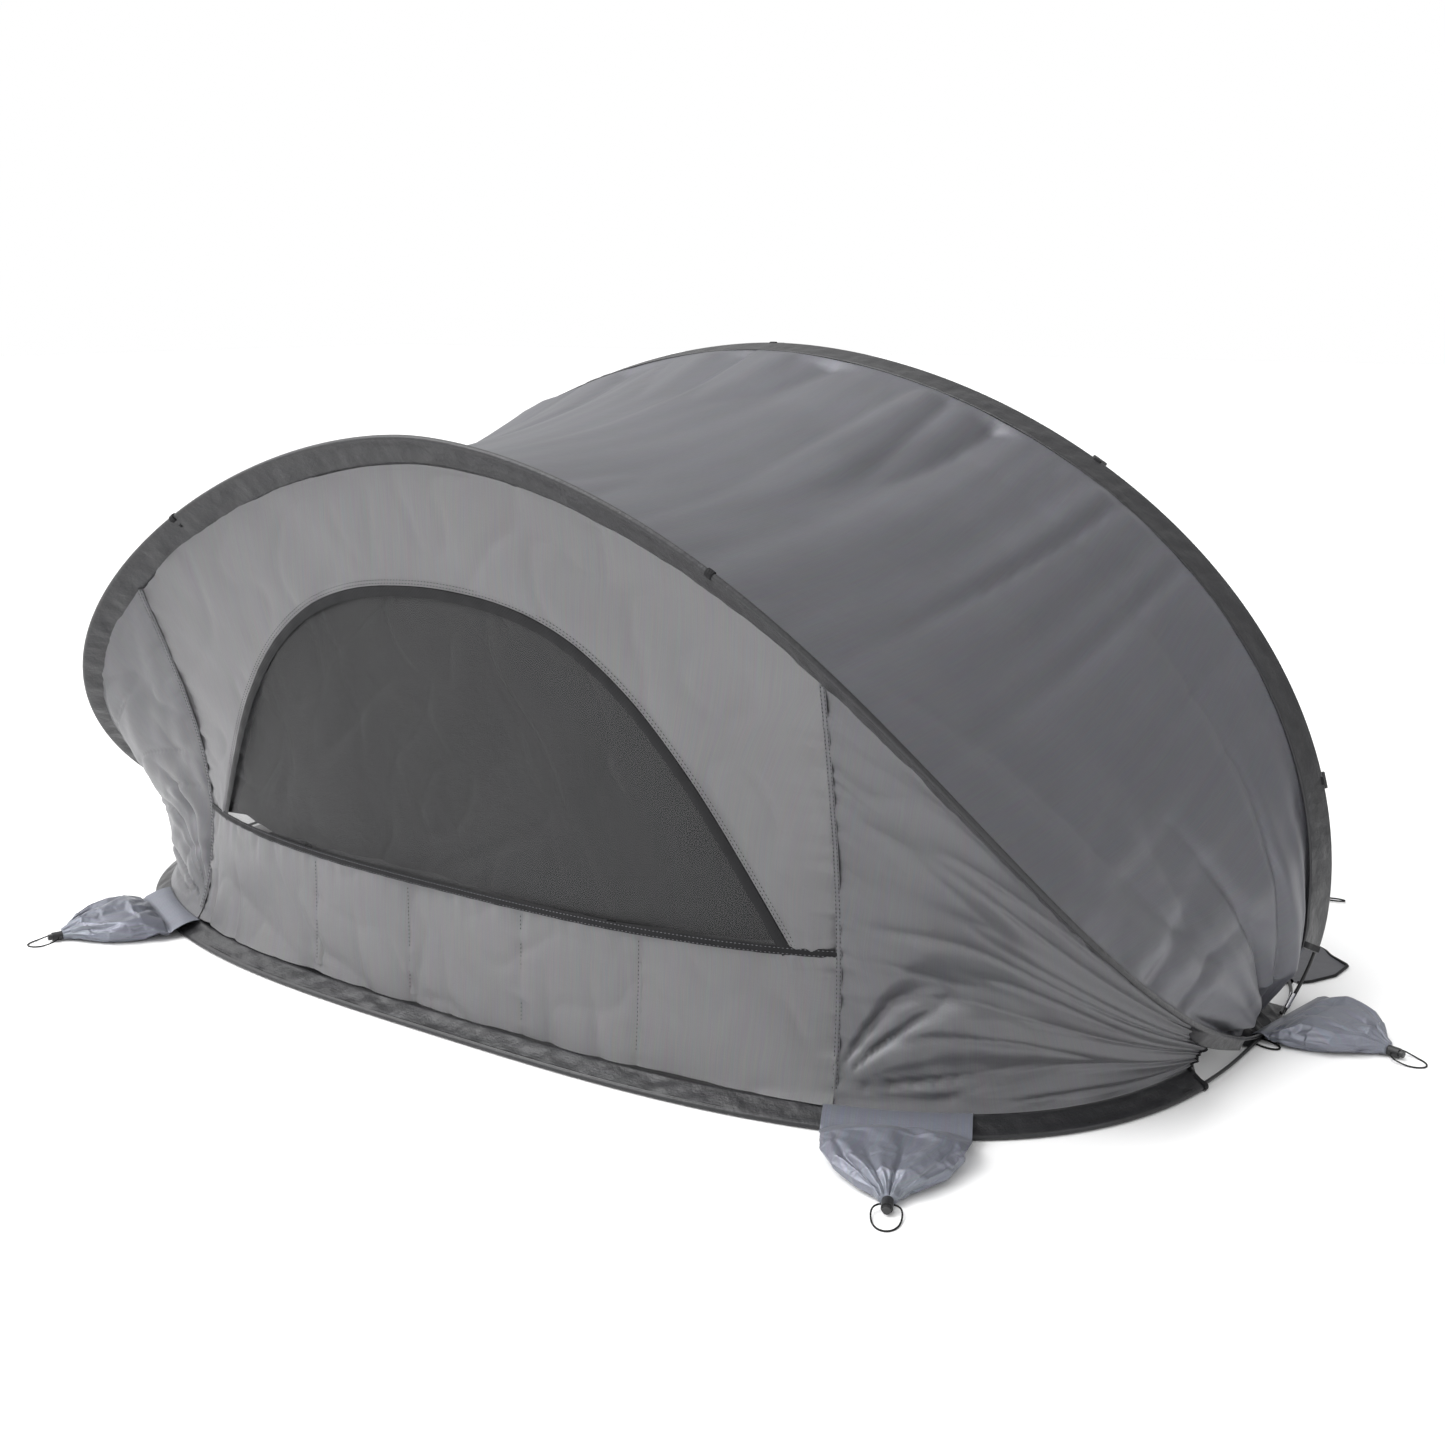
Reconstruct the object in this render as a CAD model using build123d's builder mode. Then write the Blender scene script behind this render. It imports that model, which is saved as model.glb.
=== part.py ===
"""Two-hoop pop-up beach shelter, in millimetres.

The opening faces -Y, the closed rear wall faces +Y and +Z is up. The origin is on the ground, midway
between the two corners where the spring hoops meet. Each hoop is one arch and one ground bow: the front
arch runs on into the rear ground bow, and the rear arch runs on into the front ground bow.
"""

import os
from math import asin, cos, degrees, hypot, pi, radians, sin, tan

from build123d import *

# Hoops. Each bow is a superellipse given by its reach and its exponent.
HALF_WIDTH = 1100.0
ROD_DIAMETER = 6.0
SLEEVE_OUTER = 16.0
SLEEVE_INNER = 10.0
GROUND_LINE = SLEEVE_OUTER / 2
REAR_BOW_REACH = 783.0
REAR_BOW_POWER = 3.0
FRONT_BOW_REACH = 380.0
FRONT_BOW_POWER = 3.4
REAR_ARCH_HEIGHT = 939.0
REAR_ARCH_POWER = 1.79
REAR_ARCH_REACH = 787.0
REAR_ARCH_PLAN_POWER = 7.36
REAR_ARCH_PLAN_ROOT = 2.82
FRONT_ARCH_HEIGHT = 1050.0
FRONT_ARCH_HALF_WIDTH = 1143.0
FRONT_ARCH_WIDEST_AT = 167.0
FRONT_ARCH_POWER = 1.864
FRONT_ARCH_LEAN = 219.0
FRONT_ARCH_LEAN_POWER = 2.5

# Fabric
FABRIC = 1.2
SEAM_X = 684.0
BOW_INSET = 26.0
TAPE_WIDTH = 14.0
TAPE = 1.0

# Window in the rear wall
WINDOW_SILL = 238.0
WINDOW_EDGE = [(614, 238), (530, 378), (474, 467), (377, 585), (267, 668), (150, 706), (0, 718)]
WINDOW_GAP = 4.0
COVER_MARGIN = 14.0
COVER_Y = 700.0

# Front closing panel, laid out on the ground
PANEL_HINGE_Y = -408.0
PANEL_LENGTH = 1040.0
PANEL_HALF_WIDTH = 1028.0
PANEL_POWER = 2.1
APRON_GAP = SLEEVE_OUTER / 2 + 4

# Sandbags: seam width, length, thickness, mouth
BAG_WIDTH = 210.0
BAG_HEIGHT = 44.0
REAR_BAG_LENGTH = 170.0
CORNER_BAG_LENGTH = 150.0
CORNER_BAG_SEAM = (1128.0, -14.0)
CORNER_BAG_SKEW = 0.23
REAR_BAG_SEAM = (778.0, 693.0)
REAR_BAG_OUT = (0.42, 0.91)

# Cord locks and drawcords
LOCK_RADIUS = 8.0
LOCK_LENGTH = 20.0
LOCK_GAP = 3.0
LOCK_FLOOR = 3.0
BUTTON_RADIUS = 5.6
BUTTON_TRAVEL = 4.0
CORD_DIAMETER = 2.5
# Drawcord loop: distance out of the lock's middle, distance across, share of the lock's height.
CORD_ROUTE = [
    (0, 8.4, 1.0),
    (1.5, 14.4, 0.93),
    (8, 19.5, 0.7),
    (18, 20.5, 0.35),
    (30, 19, 0.06),
    (41, 15.5, 0.0),
    (50, 8.5, 0.0),
    (53, -0.5, 0.0),
    (49.5, -9.5, 0.0),
    (40.5, -16, 0.0),
    (30, -19, 0.06),
    (18, -20.3, 0.35),
    (8, -19.3, 0.7),
    (1.5, -14.4, 0.93),
    (0, -8.4, 1.0),
]

# Fittings
BAND_GAP = 2.5
FERRULE_DIAMETER = 9.2
FERRULE_LENGTH = 26.0
REAR_BAND_SHARES = (0.305, 0.695)
FRONT_BAND_SHARES = (0.115, 0.305, 0.5, 0.695, 0.885)
LOOP_TURNS = (12, 48, 90, 132, 168)
LOOP_LENGTH = 42.0
LOOP_WIDTH = 16.0
PEG_LOOP_PLACE = (1112.0, 98.0)
TIE_PLACES = (-300.0, 365.0)
TIE_GAP = 17.0
POCKET_WIDTH = 1150.0
POCKET_HEIGHT = 170.0
POCKET_Y = 690.0
GUSSET_OUTLINE = [(1012, -46), (1074, -60), (1084, -20), (1084, 30), (1076, 96), (1020, 70)]
APRON_CORNER = [
    (1084, -188),
    (1101, -204),
    (1129, -255),
    (1136, -314),
    (1098, -344),
    (1084, -364),
    (1055, -386),
    (1030, -404),
]

OUT = "parts"


def power(value, exponent):
    """Signed power, for superellipse coordinates."""
    return (1 if value >= 0 else -1) * abs(value) ** exponent


def rear_bow(angle):
    """Point of the rear ground bow; angle runs from one corner, 0, to the other, 180."""
    c, s = cos(radians(angle)), sin(radians(angle))
    x = HALF_WIDTH * power(c, 2 / REAR_BOW_POWER)
    return Vector(x, REAR_BOW_REACH * power(s, 2 / REAR_BOW_POWER), GROUND_LINE)


def front_bow(angle):
    """Point of the front ground bow."""
    c, s = cos(radians(angle)), sin(radians(angle))
    x = HALF_WIDTH * power(c, 2 / FRONT_BOW_POWER)
    return Vector(x, -FRONT_BOW_REACH * power(s, 2 / FRONT_BOW_POWER), GROUND_LINE)


def rear_arch(angle):
    """Point of the rear arch, which bows back over the rear ground bow like a saddle."""
    c, s = cos(radians(angle)), sin(radians(angle))
    across = power(c, 2 / REAR_ARCH_POWER)
    y = REAR_ARCH_REACH * max(0.0, 1 - abs(across) ** REAR_ARCH_PLAN_POWER) ** (1 / REAR_ARCH_PLAN_ROOT)
    return Vector(HALF_WIDTH * across, y, REAR_ARCH_HEIGHT * power(s, 2 / REAR_ARCH_POWER))


def front_arch(angle):
    """Point of the front arch, widest a little above the ground and leaning forward at the top."""
    rise = FRONT_ARCH_HEIGHT - FRONT_ARCH_WIDEST_AT
    narrowing = (1 - (HALF_WIDTH / FRONT_ARCH_HALF_WIDTH) ** FRONT_ARCH_POWER) ** (1 / FRONT_ARCH_POWER)
    start = degrees(asin(narrowing ** (FRONT_ARCH_POWER / 2)))
    turn = radians(-start + angle * (180 + 2 * start) / 180)
    lift = power(sin(turn), 2 / FRONT_ARCH_POWER)
    below = FRONT_ARCH_WIDEST_AT / narrowing
    z = FRONT_ARCH_WIDEST_AT + lift * (rise if lift > 0 else below)
    share = 1 - min(1.0, max(0.0, z) / FRONT_ARCH_HEIGHT)
    y = -FRONT_ARCH_LEAN * (1 - share**FRONT_ARCH_LEAN_POWER)
    return Vector(FRONT_ARCH_HALF_WIDTH * power(cos(turn), 2 / FRONT_ARCH_POWER), y, z)


def along(curve, start, end, count):
    """Points at equal spacing along a curve, between two shares, 0 to 1, of its whole length."""
    dense = [curve(180 * i / 720) for i in range(721)]
    travelled = [0.0]
    for a, b in zip(dense, dense[1:]):
        travelled.append(travelled[-1] + (b - a).length)
    points = []
    k = 0
    for i in range(count):
        target = travelled[-1] * (start + (end - start) * i / (count - 1))
        while k < 719 and travelled[k + 1] < target:
            k += 1
        share = (target - travelled[k]) / (travelled[k + 1] - travelled[k])
        points.append(dense[k] + (dense[k + 1] - dense[k]) * share)
    return points


def bend_radii(points, share=0.45):
    """Radius of the arc at each inner corner: as large as the two runs beside it allow."""
    radii = []
    for a, b, c in zip(points, points[1:], points[2:]):
        half_turn = radians((b - a).get_angle(c - b)) / 2
        radii.append(share * min((b - a).length, (c - b).length) / tan(half_turn))
    return radii


def tube(points, outer, inner=0.0, radii=None):
    """Round bar or tube along straight runs joined by tangent arcs."""
    with BuildPart() as result:
        with BuildLine() as path:
            route = FilletPolyline(*points, radius=radii or bend_radii(points))
        with BuildSketch(Plane(origin=route @ 0, z_dir=route % 0)):
            Circle(outer / 2)
            if inner:
                Circle(inner / 2, mode=Mode.SUBTRACT)
        sweep(path=path.wire())
    return result


def strip(first, second, thickness=FABRIC):
    """Thin sheet spanned by straight lines between two rows of points."""
    with BuildPart() as result:
        last = len(first) - 1
        for i, (a, b) in enumerate(zip(first, second)):
            before = (first[max(0, i - 1)] + second[max(0, i - 1)]) / 2
            after = (first[min(last, i + 1)] + second[min(last, i + 1)]) / 2
            ahead = after - before
            across = (b - a).normalized()
            normal = ahead - across * ahead.dot(across)
            with BuildSketch(Plane(origin=(a + b) / 2, x_dir=across, z_dir=normal)):
                Rectangle((b - a).length, thickness)
        loft(ruled=True)
    return result


def save(name, part):
    """Label a finished piece and write it to its own file."""
    part.part.label = name
    export_step(part.part, f"{OUT}/{name}.step")


def mirrored(part):
    """The same piece on the other side of the shelter."""
    with BuildPart() as result:
        add(mirror(part.part, about=Plane.YZ, mode=Mode.PRIVATE))
    return result


def group(parts):
    """Several separate solids as one node."""
    with BuildPart() as result:
        for part in parts:
            add(part.part)
    return result


def pull_in(points, towards, distance):
    """Each point moved a distance towards its partner in another row."""
    return [p + (q - p).normalized() * distance for p, q in zip(points, towards)]


# ---------------------------------------------------------------- hoops


def hoop_pieces(name, curve, start, count, bare):
    """One bow's rod, and its sleeve, which leaves the given runs and a half bare at each end."""
    points = along(curve, start, 1 - start, count)
    save(f"{name}_rod", tube(points, ROD_DIAMETER))
    first = (points[bare] + points[bare + 1]) / 2
    last = (points[-bare - 1] + points[-bare - 2]) / 2
    covered = [first, *points[bare + 1 : -bare - 1], last]
    save(f"{name}_sleeve", tube(covered, SLEEVE_OUTER, SLEEVE_INNER, bend_radii(points)[bare:-bare]))


def make_hoops():
    """Rods and the fabric sleeves round them."""
    hoop_pieces("rear_ground", rear_bow, 0.006, 31, 2)
    hoop_pieces("front_ground", front_bow, 0.012, 31, 1)
    hoop_pieces("rear_arch", rear_arch, 0.04, 35, 1)
    hoop_pieces("front_arch", front_arch, 0.008, 33, 1)


def make_ferrules():
    """Crimped metal tube at each foot of the front arch, round the rod's first run."""
    points = along(front_arch, 0.008, 0.992, 33)
    ferrules = []
    for foot, above in ((points[0], points[1]), (points[-1], points[-2])):
        run = (above - foot).normalized()
        with BuildPart() as ferrule:
            with BuildSketch(Plane(origin=foot + run * 4, z_dir=run)):
                Circle(FERRULE_DIAMETER / 2)
                Circle(ROD_DIAMETER / 2 + 0.3, mode=Mode.SUBTRACT)
            extrude(amount=FERRULE_LENGTH)
        ferrules.append(ferrule)
    save("rod_ferrules", group(ferrules))


# ---------------------------------------------------------------- walls and roof


def wall_rows(start, end, count):
    """Bottom and top edges of the wall between the rear ground bow and the rear arch."""
    low = along(rear_bow, start, end, count)
    high = []
    for p in low:
        high.append(arch_over(p))
    inner_low = [Vector(p.X * (1 - BOW_INSET / 1500), p.Y - BOW_INSET, GROUND_LINE + 2) for p in low]
    inner_high = [q + (p - q).normalized() * (SLEEVE_OUTER / 2 + 7) for p, q in zip(inner_low, high)]
    return inner_low, inner_high


def arch_over(point):
    """Point of the rear arch above a point of the rear bow, sliding outwards near the corners."""
    share = abs(point.X) / HALF_WIDTH
    target = HALF_WIDTH * min(0.992, share + 0.05 * max(0.0, share - 0.6) / 0.36)
    best = min((rear_arch(a / 4) for a in range(8, 361)), key=lambda q: abs(q.X - target))
    return Vector(best.X if point.X > 0 else -best.X, best.Y, best.Z)


def share_at(curve, x):
    """Share of a bow's length at which it reaches a given x."""
    dense = [curve(180 * i / 720) for i in range(721)]
    total = sum((b - a).length for a, b in zip(dense, dense[1:]))
    travelled = 0.0
    for a, b in zip(dense, dense[1:]):
        if b.X < x:
            return travelled / total
        travelled += (b - a).length
    return 1.0


def window_outline(shrink=0.0, y=0.0):
    """Window outline on an upright plane, straight along the sill and bowed over the top."""
    with BuildSketch(Plane.XZ.offset(-y)) as outline:
        with BuildLine():
            wide = 1 - shrink / WINDOW_EDGE[0][0]
            tall = 1 - 2 * shrink / (WINDOW_EDGE[-1][1] - WINDOW_SILL)
            middle = (WINDOW_EDGE[-1][1] + WINDOW_SILL) / 2
            right = [(x * wide, middle + (z - middle) * tall) for x, z in WINDOW_EDGE]
            left = [(-x, z) for x, z in reversed(right[:-1])]
            Spline(*right, *left)
            Line(left[-1], right[0])
        make_face()
    return outline


def make_walls():
    """Rear wall with its window, the lower rear panel and the two side panels."""
    seam = share_at(rear_bow, SEAM_X)
    low, high = wall_rows(seam, 1 - seam, 15)
    with BuildPart() as rear:
        add(strip(low, high).part)
        with Locations((0, REAR_BOW_REACH, WINDOW_SILL / 2)):
            Box(3 * HALF_WIDTH, 900, WINDOW_SILL + 4, mode=Mode.SUBTRACT)
        extrude(window_outline().sketch, amount=-900, mode=Mode.SUBTRACT)
    save("rear_panel", rear)
    with BuildPart() as lower:
        add(strip(low, high).part)
        with Locations((0, REAR_BOW_REACH, WINDOW_SILL / 2)):
            Box(3 * HALF_WIDTH, 900, WINDOW_SILL - 1, mode=Mode.INTERSECT)
    save("lower_rear_panel", lower)
    with BuildPart() as mesh:
        add(strip(low, high).part)
        extrude(window_outline(WINDOW_GAP).sketch, amount=-900, mode=Mode.INTERSECT)
    save("window_mesh", mesh)
    side_low, side_high = wall_rows(0.09, seam - 0.0005, 9)
    side = strip(side_low, side_high)
    save("side_panel_left", side)
    save("side_panel_right", mirrored(side))


def make_canopy():
    """Roof sheet from the rear arch to the front arch, down to both corners."""
    rear_row = along(rear_arch, 0.05, 0.95, 27)
    front_row = along(front_arch, 0.036, 0.964, 27)
    inset = SLEEVE_OUTER / 2 + 7
    save("canopy", strip(pull_in(rear_row, front_row, inset), pull_in(front_row, rear_row, inset)))


def make_floor():
    """Ground sheet inside the two ground bows, and the apron corners in front of it."""
    inset = SLEEVE_OUTER / 2 + 2
    back = [inside(p, inset) for p in along(rear_bow, 0.012, 0.988, 33)]
    front = [inside(p, inset) for p in reversed(along(front_bow, 0.02, 0.98, 33))]
    with BuildPart() as floor:
        with BuildSketch():
            with BuildLine():
                Polyline(*[(p.X, p.Y) for p in back + front], close=True)
            make_face()
        extrude(amount=FABRIC)
    save("floor", floor)


def inside(point, inset):
    """Ground point moved towards the middle of the floor."""
    length = hypot(point.X, point.Y)
    scale = (length - inset * 1.6) / length
    return Vector(point.X * scale, point.Y * scale, 0)


def outside(point, gap):
    """Ground point moved out of the floor, square to the front ground bow."""
    across = power(point.X / HALF_WIDTH, FRONT_BOW_POWER - 1) / HALF_WIDTH
    ahead = power(point.Y / FRONT_BOW_REACH, FRONT_BOW_POWER - 1) / FRONT_BOW_REACH
    return Vector(point.X, point.Y, 0) + Vector(across, ahead, 0).normalized() * gap


# ---------------------------------------------------------------- front panel


def make_front_panel():
    """Closing panel that lies on the ground in front and folds up to shut the opening."""
    with BuildPart() as panel:
        with BuildSketch():
            with BuildLine():
                rim = []
                for i in range(25):
                    turn = pi * i / 24
                    x = PANEL_HALF_WIDTH * power(cos(turn), 2 / PANEL_POWER)
                    rim.append((x, PANEL_HINGE_Y - PANEL_LENGTH * power(sin(turn), 2 / PANEL_POWER)))
                Polyline(*rim, close=True)
            make_face()
        extrude(amount=FABRIC)
    save("front_panel", panel)
    save("front_panel_loops", group([rim_loop(turn) for turn in LOOP_TURNS]))
    bow = [outside(p, APRON_GAP) for p in along(front_bow, 0.075, 0.925, 31)]
    corner = [(-x, y) for x, y in APRON_CORNER]
    with BuildPart() as apron:
        with BuildSketch():
            with BuildLine():
                Polyline(*[(p.X, p.Y) for p in bow], *corner, *reversed(APRON_CORNER), close=True)
            make_face()
        extrude(amount=FABRIC)
    save("front_apron", apron)


def rim_loop(turn):
    """Elastic loop on the rim of the closing panel, for one toggle of the front arch."""
    c, s = cos(radians(turn)), sin(radians(turn))
    x = PANEL_HALF_WIDTH * power(c, 2 / PANEL_POWER)
    y = PANEL_HINGE_Y - PANEL_LENGTH * power(s, 2 / PANEL_POWER)
    with BuildPart() as loop:
        with BuildSketch(Plane(origin=(x, y, 0), x_dir=(c, -s, 0), z_dir=(0, 0, 1))):
            with Locations((LOOP_LENGTH / 2 + 1, 0)):
                SlotOverall(LOOP_LENGTH, LOOP_WIDTH)
                SlotOverall(LOOP_LENGTH - 5, LOOP_WIDTH - 5, mode=Mode.SUBTRACT)
        extrude(amount=2)
    return loop


# ---------------------------------------------------------------- window furniture


def make_window_furniture():
    """Inner cover that closes the window, its roll-up ties and the tape along the sill."""
    with BuildPart() as cover:
        extrude(window_outline(-COVER_MARGIN, COVER_Y).sketch, amount=FABRIC)
    save("window_cover", cover)
    with BuildPart() as ties:
        with Locations(*[(x, COVER_Y + TIE_GAP, WINDOW_SILL + 14) for x in TIE_PLACES]):
            Box(18, 1.2, 56)
    save("window_ties", ties)
    seam = share_at(rear_bow, SEAM_X - 8)
    low, high = wall_rows(seam, 1 - seam, 15)
    outer = [offset_out(p, 3.0) for p in low], [offset_out(p, 3.0) for p in high]
    with BuildPart() as tape:
        add(strip(*outer, thickness=TAPE).part)
        with Locations((0, REAR_BOW_REACH, WINDOW_SILL)):
            Box(3 * HALF_WIDTH, 900, TAPE_WIDTH, mode=Mode.INTERSECT)
    save("window_sill_tape", tape)
    tapes = []
    for shift in (-TAPE_WIDTH / 2, TAPE_WIDTH / 2):
        share = share_at(rear_bow, SEAM_X + shift)
        tapes.append(wall_rows(share, share + 0.001, 2))
    lows = [offset_out(rows[0][0], 5.5) for rows in tapes]
    highs = [offset_out(rows[1][0] - Vector(0, 0, 6), 5.5) for rows in tapes]
    seam_tape = strip(lows, highs, thickness=TAPE)
    save("side_seam_tapes", group([seam_tape, mirrored(seam_tape)]))
    with BuildPart() as pocket:
        with Locations((0, POCKET_Y, POCKET_HEIGHT / 2 + 8)):
            Box(POCKET_WIDTH, FABRIC, POCKET_HEIGHT)
    save("inner_pocket", pocket)


def offset_out(point, distance):
    """Point moved outwards from the rear wall."""
    slope = REAR_BOW_REACH * abs(point.X / HALF_WIDTH) ** 2 / HALF_WIDTH
    outwards = Vector(slope * (1 if point.X > 0 else -1), 1, 0).normalized()
    return point + outwards * distance


# ---------------------------------------------------------------- fittings


def make_fittings():
    """Corner gussets, peg loops, arch bands and the toggles along the front arch."""
    with BuildPart() as gusset:
        with BuildSketch(Plane.XY.offset(FABRIC + 0.8)):
            with BuildLine():
                Polyline(*GUSSET_OUTLINE, close=True)
            make_face()
        extrude(amount=FABRIC)
    save("corner_gusset_left", gusset)
    save("corner_gusset_right", mirrored(gusset))
    with BuildPart() as loop:
        with BuildSketch(Plane(origin=(*PEG_LOOP_PLACE, 0), x_dir=(1, 0.35, 0), z_dir=(0, 0, 1))):
            SlotOverall(58, 30)
            SlotOverall(54, 26, mode=Mode.SUBTRACT)
            with Locations((-29, 0)):
                Rectangle(26, 40, mode=Mode.SUBTRACT)
        extrude(amount=2)
    save("peg_loops", group([loop, mirrored(loop)]))
    save("rear_arch_bands", group([arch_band(rear_arch, share) for share in REAR_BAND_SHARES]))
    save("front_arch_bands", group([arch_band(front_arch, share) for share in FRONT_BAND_SHARES]))
    save("front_arch_toggles", group([toggle(share) for share in FRONT_BAND_SHARES]))


def arch_band(curve, share):
    """Webbing band sewn round an arch sleeve."""
    a, b = along(curve, share - 0.003, share + 0.003, 2)
    with BuildPart() as band:
        with BuildSketch(Plane(origin=a, z_dir=b - a)):
            Circle(SLEEVE_OUTER / 2 + BAND_GAP + 1.5)
            Circle(SLEEVE_OUTER / 2 + BAND_GAP, mode=Mode.SUBTRACT)
        extrude(amount=(b - a).length)
    return band


def toggle(share):
    """Barrel toggle that hangs in front of the front arch on its band."""
    a, b = along(front_arch, share - 0.003, share + 0.003, 2)
    run = (b - a).normalized()
    centre = (a + b) / 2 + Vector(0, -(SLEEVE_OUTER / 2 + 10), 0)
    with BuildPart() as barrel:
        with BuildSketch(Plane(origin=centre - run * 14, z_dir=run)):
            Circle(4.5)
        extrude(amount=28)
        fillet(barrel.edges().filter_by(GeomType.CIRCLE), 1.8)
    return barrel


# ---------------------------------------------------------------- sandbags


def bag_frame(name):
    """Plane at the middle of a sandbag's seam, with X across the seam and Z pointing outwards."""
    side = 1 if name.endswith("left") else -1
    if name.startswith("front"):
        origin, out = Vector(side * CORNER_BAG_SEAM[0], CORNER_BAG_SEAM[1], 0), Vector(side, CORNER_BAG_SKEW, 0)
    else:
        out = Vector(side * REAR_BAG_OUT[0], REAR_BAG_OUT[1], 0)
        origin = Vector(side * REAR_BAG_SEAM[0], REAR_BAG_SEAM[1], 0)
    out = out.normalized()
    return Plane(origin=origin, x_dir=Vector(out.Y, -out.X, 0), z_dir=out)


def bag_level(name, distance, height):
    """Plane across a sandbag at a distance from its seam, at a height above the ground."""
    base = bag_frame(name)
    return Plane(
        origin=base.origin + base.z_dir * distance + Vector(0, 0, height), x_dir=base.x_dir, z_dir=base.z_dir
    )


def make_sandbag(name):
    """One sandbag, gathered to a mouth, with its drawcord, cord lock, button and spring."""
    length = CORNER_BAG_LENGTH if name.startswith("front") else REAR_BAG_LENGTH
    sections = [(0.0, 1.0, 0.18), (0.16, 1.06, 0.72), (0.5, 1.0, 1.0), (0.82, 0.56, 0.86), (1.0, 0.125, 0.55)]
    with BuildPart() as bag:
        for distance, width, height in sections:
            with BuildSketch(bag_level(name, distance * length, height * BAG_HEIGHT / 2 + 0.4)):
                Ellipse(BAG_WIDTH * width / 2, BAG_HEIGHT * height / 2)
        loft()
    save(f"sandbag_{name}", bag)
    start = length + LOCK_GAP
    axis_height = LOCK_RADIUS + 1.2
    with BuildPart() as lock:
        with BuildSketch(bag_level(name, start, axis_height)):
            Circle(LOCK_RADIUS)
        extrude(amount=LOCK_LENGTH)
        with BuildSketch(bag_level(name, start + LOCK_FLOOR, axis_height)):
            Circle(BUTTON_RADIUS + 0.25)
        extrude(amount=LOCK_LENGTH, mode=Mode.SUBTRACT)
    save(f"cord_lock_{name}", lock)
    with BuildPart() as button:
        with BuildSketch(bag_level(name, start + LOCK_FLOOR + BUTTON_TRAVEL + 3, axis_height)):
            Circle(BUTTON_RADIUS)
        extrude(amount=LOCK_LENGTH - LOCK_FLOOR)
        fillet(button.edges().filter_by(GeomType.CIRCLE), 0.8)
    save(f"cord_lock_button_{name}", button)
    with BuildPart() as spring:
        with BuildSketch(bag_level(name, start + LOCK_FLOOR + 0.2, axis_height)):
            Circle(4.2)
            Circle(2.6, mode=Mode.SUBTRACT)
        extrude(amount=BUTTON_TRAVEL + 2.5)
    save(f"cord_lock_spring_{name}", spring)
    save(f"drawcord_{name}", drawcord(name, start + LOCK_LENGTH / 2, axis_height))


def drawcord(name, start, height):
    """Loose loop of drawcord, out of one side of the lock and back into the other."""
    base = bag_frame(name)
    points = []
    for out, across, rise in CORD_ROUTE:
        drop = CORD_DIAMETER / 2 + 0.3 + (height - CORD_DIAMETER / 2 - 0.3) * rise
        place = base.origin + base.z_dir * (start + out) + base.x_dir * across
        points.append(Vector(place.X, place.Y, drop))
    print(f"drawcord_{name} radii", [round(r, 1) for r in bend_radii(points)])
    return tube(points, CORD_DIAMETER)


if __name__ == "__main__":
    os.makedirs(OUT, exist_ok=True)
    make_hoops()
    make_ferrules()
    make_walls()
    make_canopy()
    make_floor()
    make_front_panel()
    make_window_furniture()
    make_fittings()
    for place in ("front_left", "front_right", "rear_left", "rear_right"):
        make_sandbag(place)
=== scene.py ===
"""Looks of the two-hoop pop-up beach shelter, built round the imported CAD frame. Metres."""

from math import asin, cos, degrees, pi, radians, sin

import bpy
import numpy as np
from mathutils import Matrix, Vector, noise


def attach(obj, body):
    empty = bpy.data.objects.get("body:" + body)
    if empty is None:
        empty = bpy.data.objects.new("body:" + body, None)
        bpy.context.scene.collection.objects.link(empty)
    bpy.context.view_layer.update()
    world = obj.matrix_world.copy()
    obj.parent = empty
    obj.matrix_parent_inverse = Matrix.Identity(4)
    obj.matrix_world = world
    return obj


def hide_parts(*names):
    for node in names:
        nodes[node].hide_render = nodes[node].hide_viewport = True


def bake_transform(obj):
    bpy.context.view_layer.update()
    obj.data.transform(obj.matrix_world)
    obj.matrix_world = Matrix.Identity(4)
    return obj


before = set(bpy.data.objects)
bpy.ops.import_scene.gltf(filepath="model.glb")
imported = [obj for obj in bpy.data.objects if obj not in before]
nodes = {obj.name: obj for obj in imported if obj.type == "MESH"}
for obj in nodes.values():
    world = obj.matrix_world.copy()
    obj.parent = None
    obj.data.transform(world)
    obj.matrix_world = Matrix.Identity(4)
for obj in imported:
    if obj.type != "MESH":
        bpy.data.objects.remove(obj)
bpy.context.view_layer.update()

# ---------------------------------------------------------------- driving dimensions, as in the CAD part

HALF_WIDTH = 1.100
GROUND_LINE = 0.008
REAR_BOW_REACH = 0.783
REAR_BOW_POWER = 3.0
FRONT_BOW_REACH = 0.380
FRONT_BOW_POWER = 3.4
REAR_ARCH_HEIGHT = 0.939
REAR_ARCH_POWER = 1.79
REAR_ARCH_REACH = 0.787
REAR_ARCH_PLAN_POWER = 7.36
REAR_ARCH_PLAN_ROOT = 2.82
FRONT_ARCH_HEIGHT = 1.050
FRONT_ARCH_HALF_WIDTH = 1.143
FRONT_ARCH_WIDEST_AT = 0.167
FRONT_ARCH_POWER = 1.864
FRONT_ARCH_LEAN = 0.219
FRONT_ARCH_LEAN_POWER = 2.5

SEAM_X = 0.684
CUT_TOP_X = 1.090
CUT_BOW_X = 1.081
REAR_FIN = 0.045
REAR_FIN_END = 0.015
FRONT_FIN = 0.060
GROUND_FIN = 0.026
GROUND_FIN_RISE = 0.019
SLEEVE_RADIUS = 0.0048
ROD_RADIUS = 0.003
BOW_AXIS_HEIGHT = SLEEVE_RADIUS + 0.0006
ARCH_STEPS = 900

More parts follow.
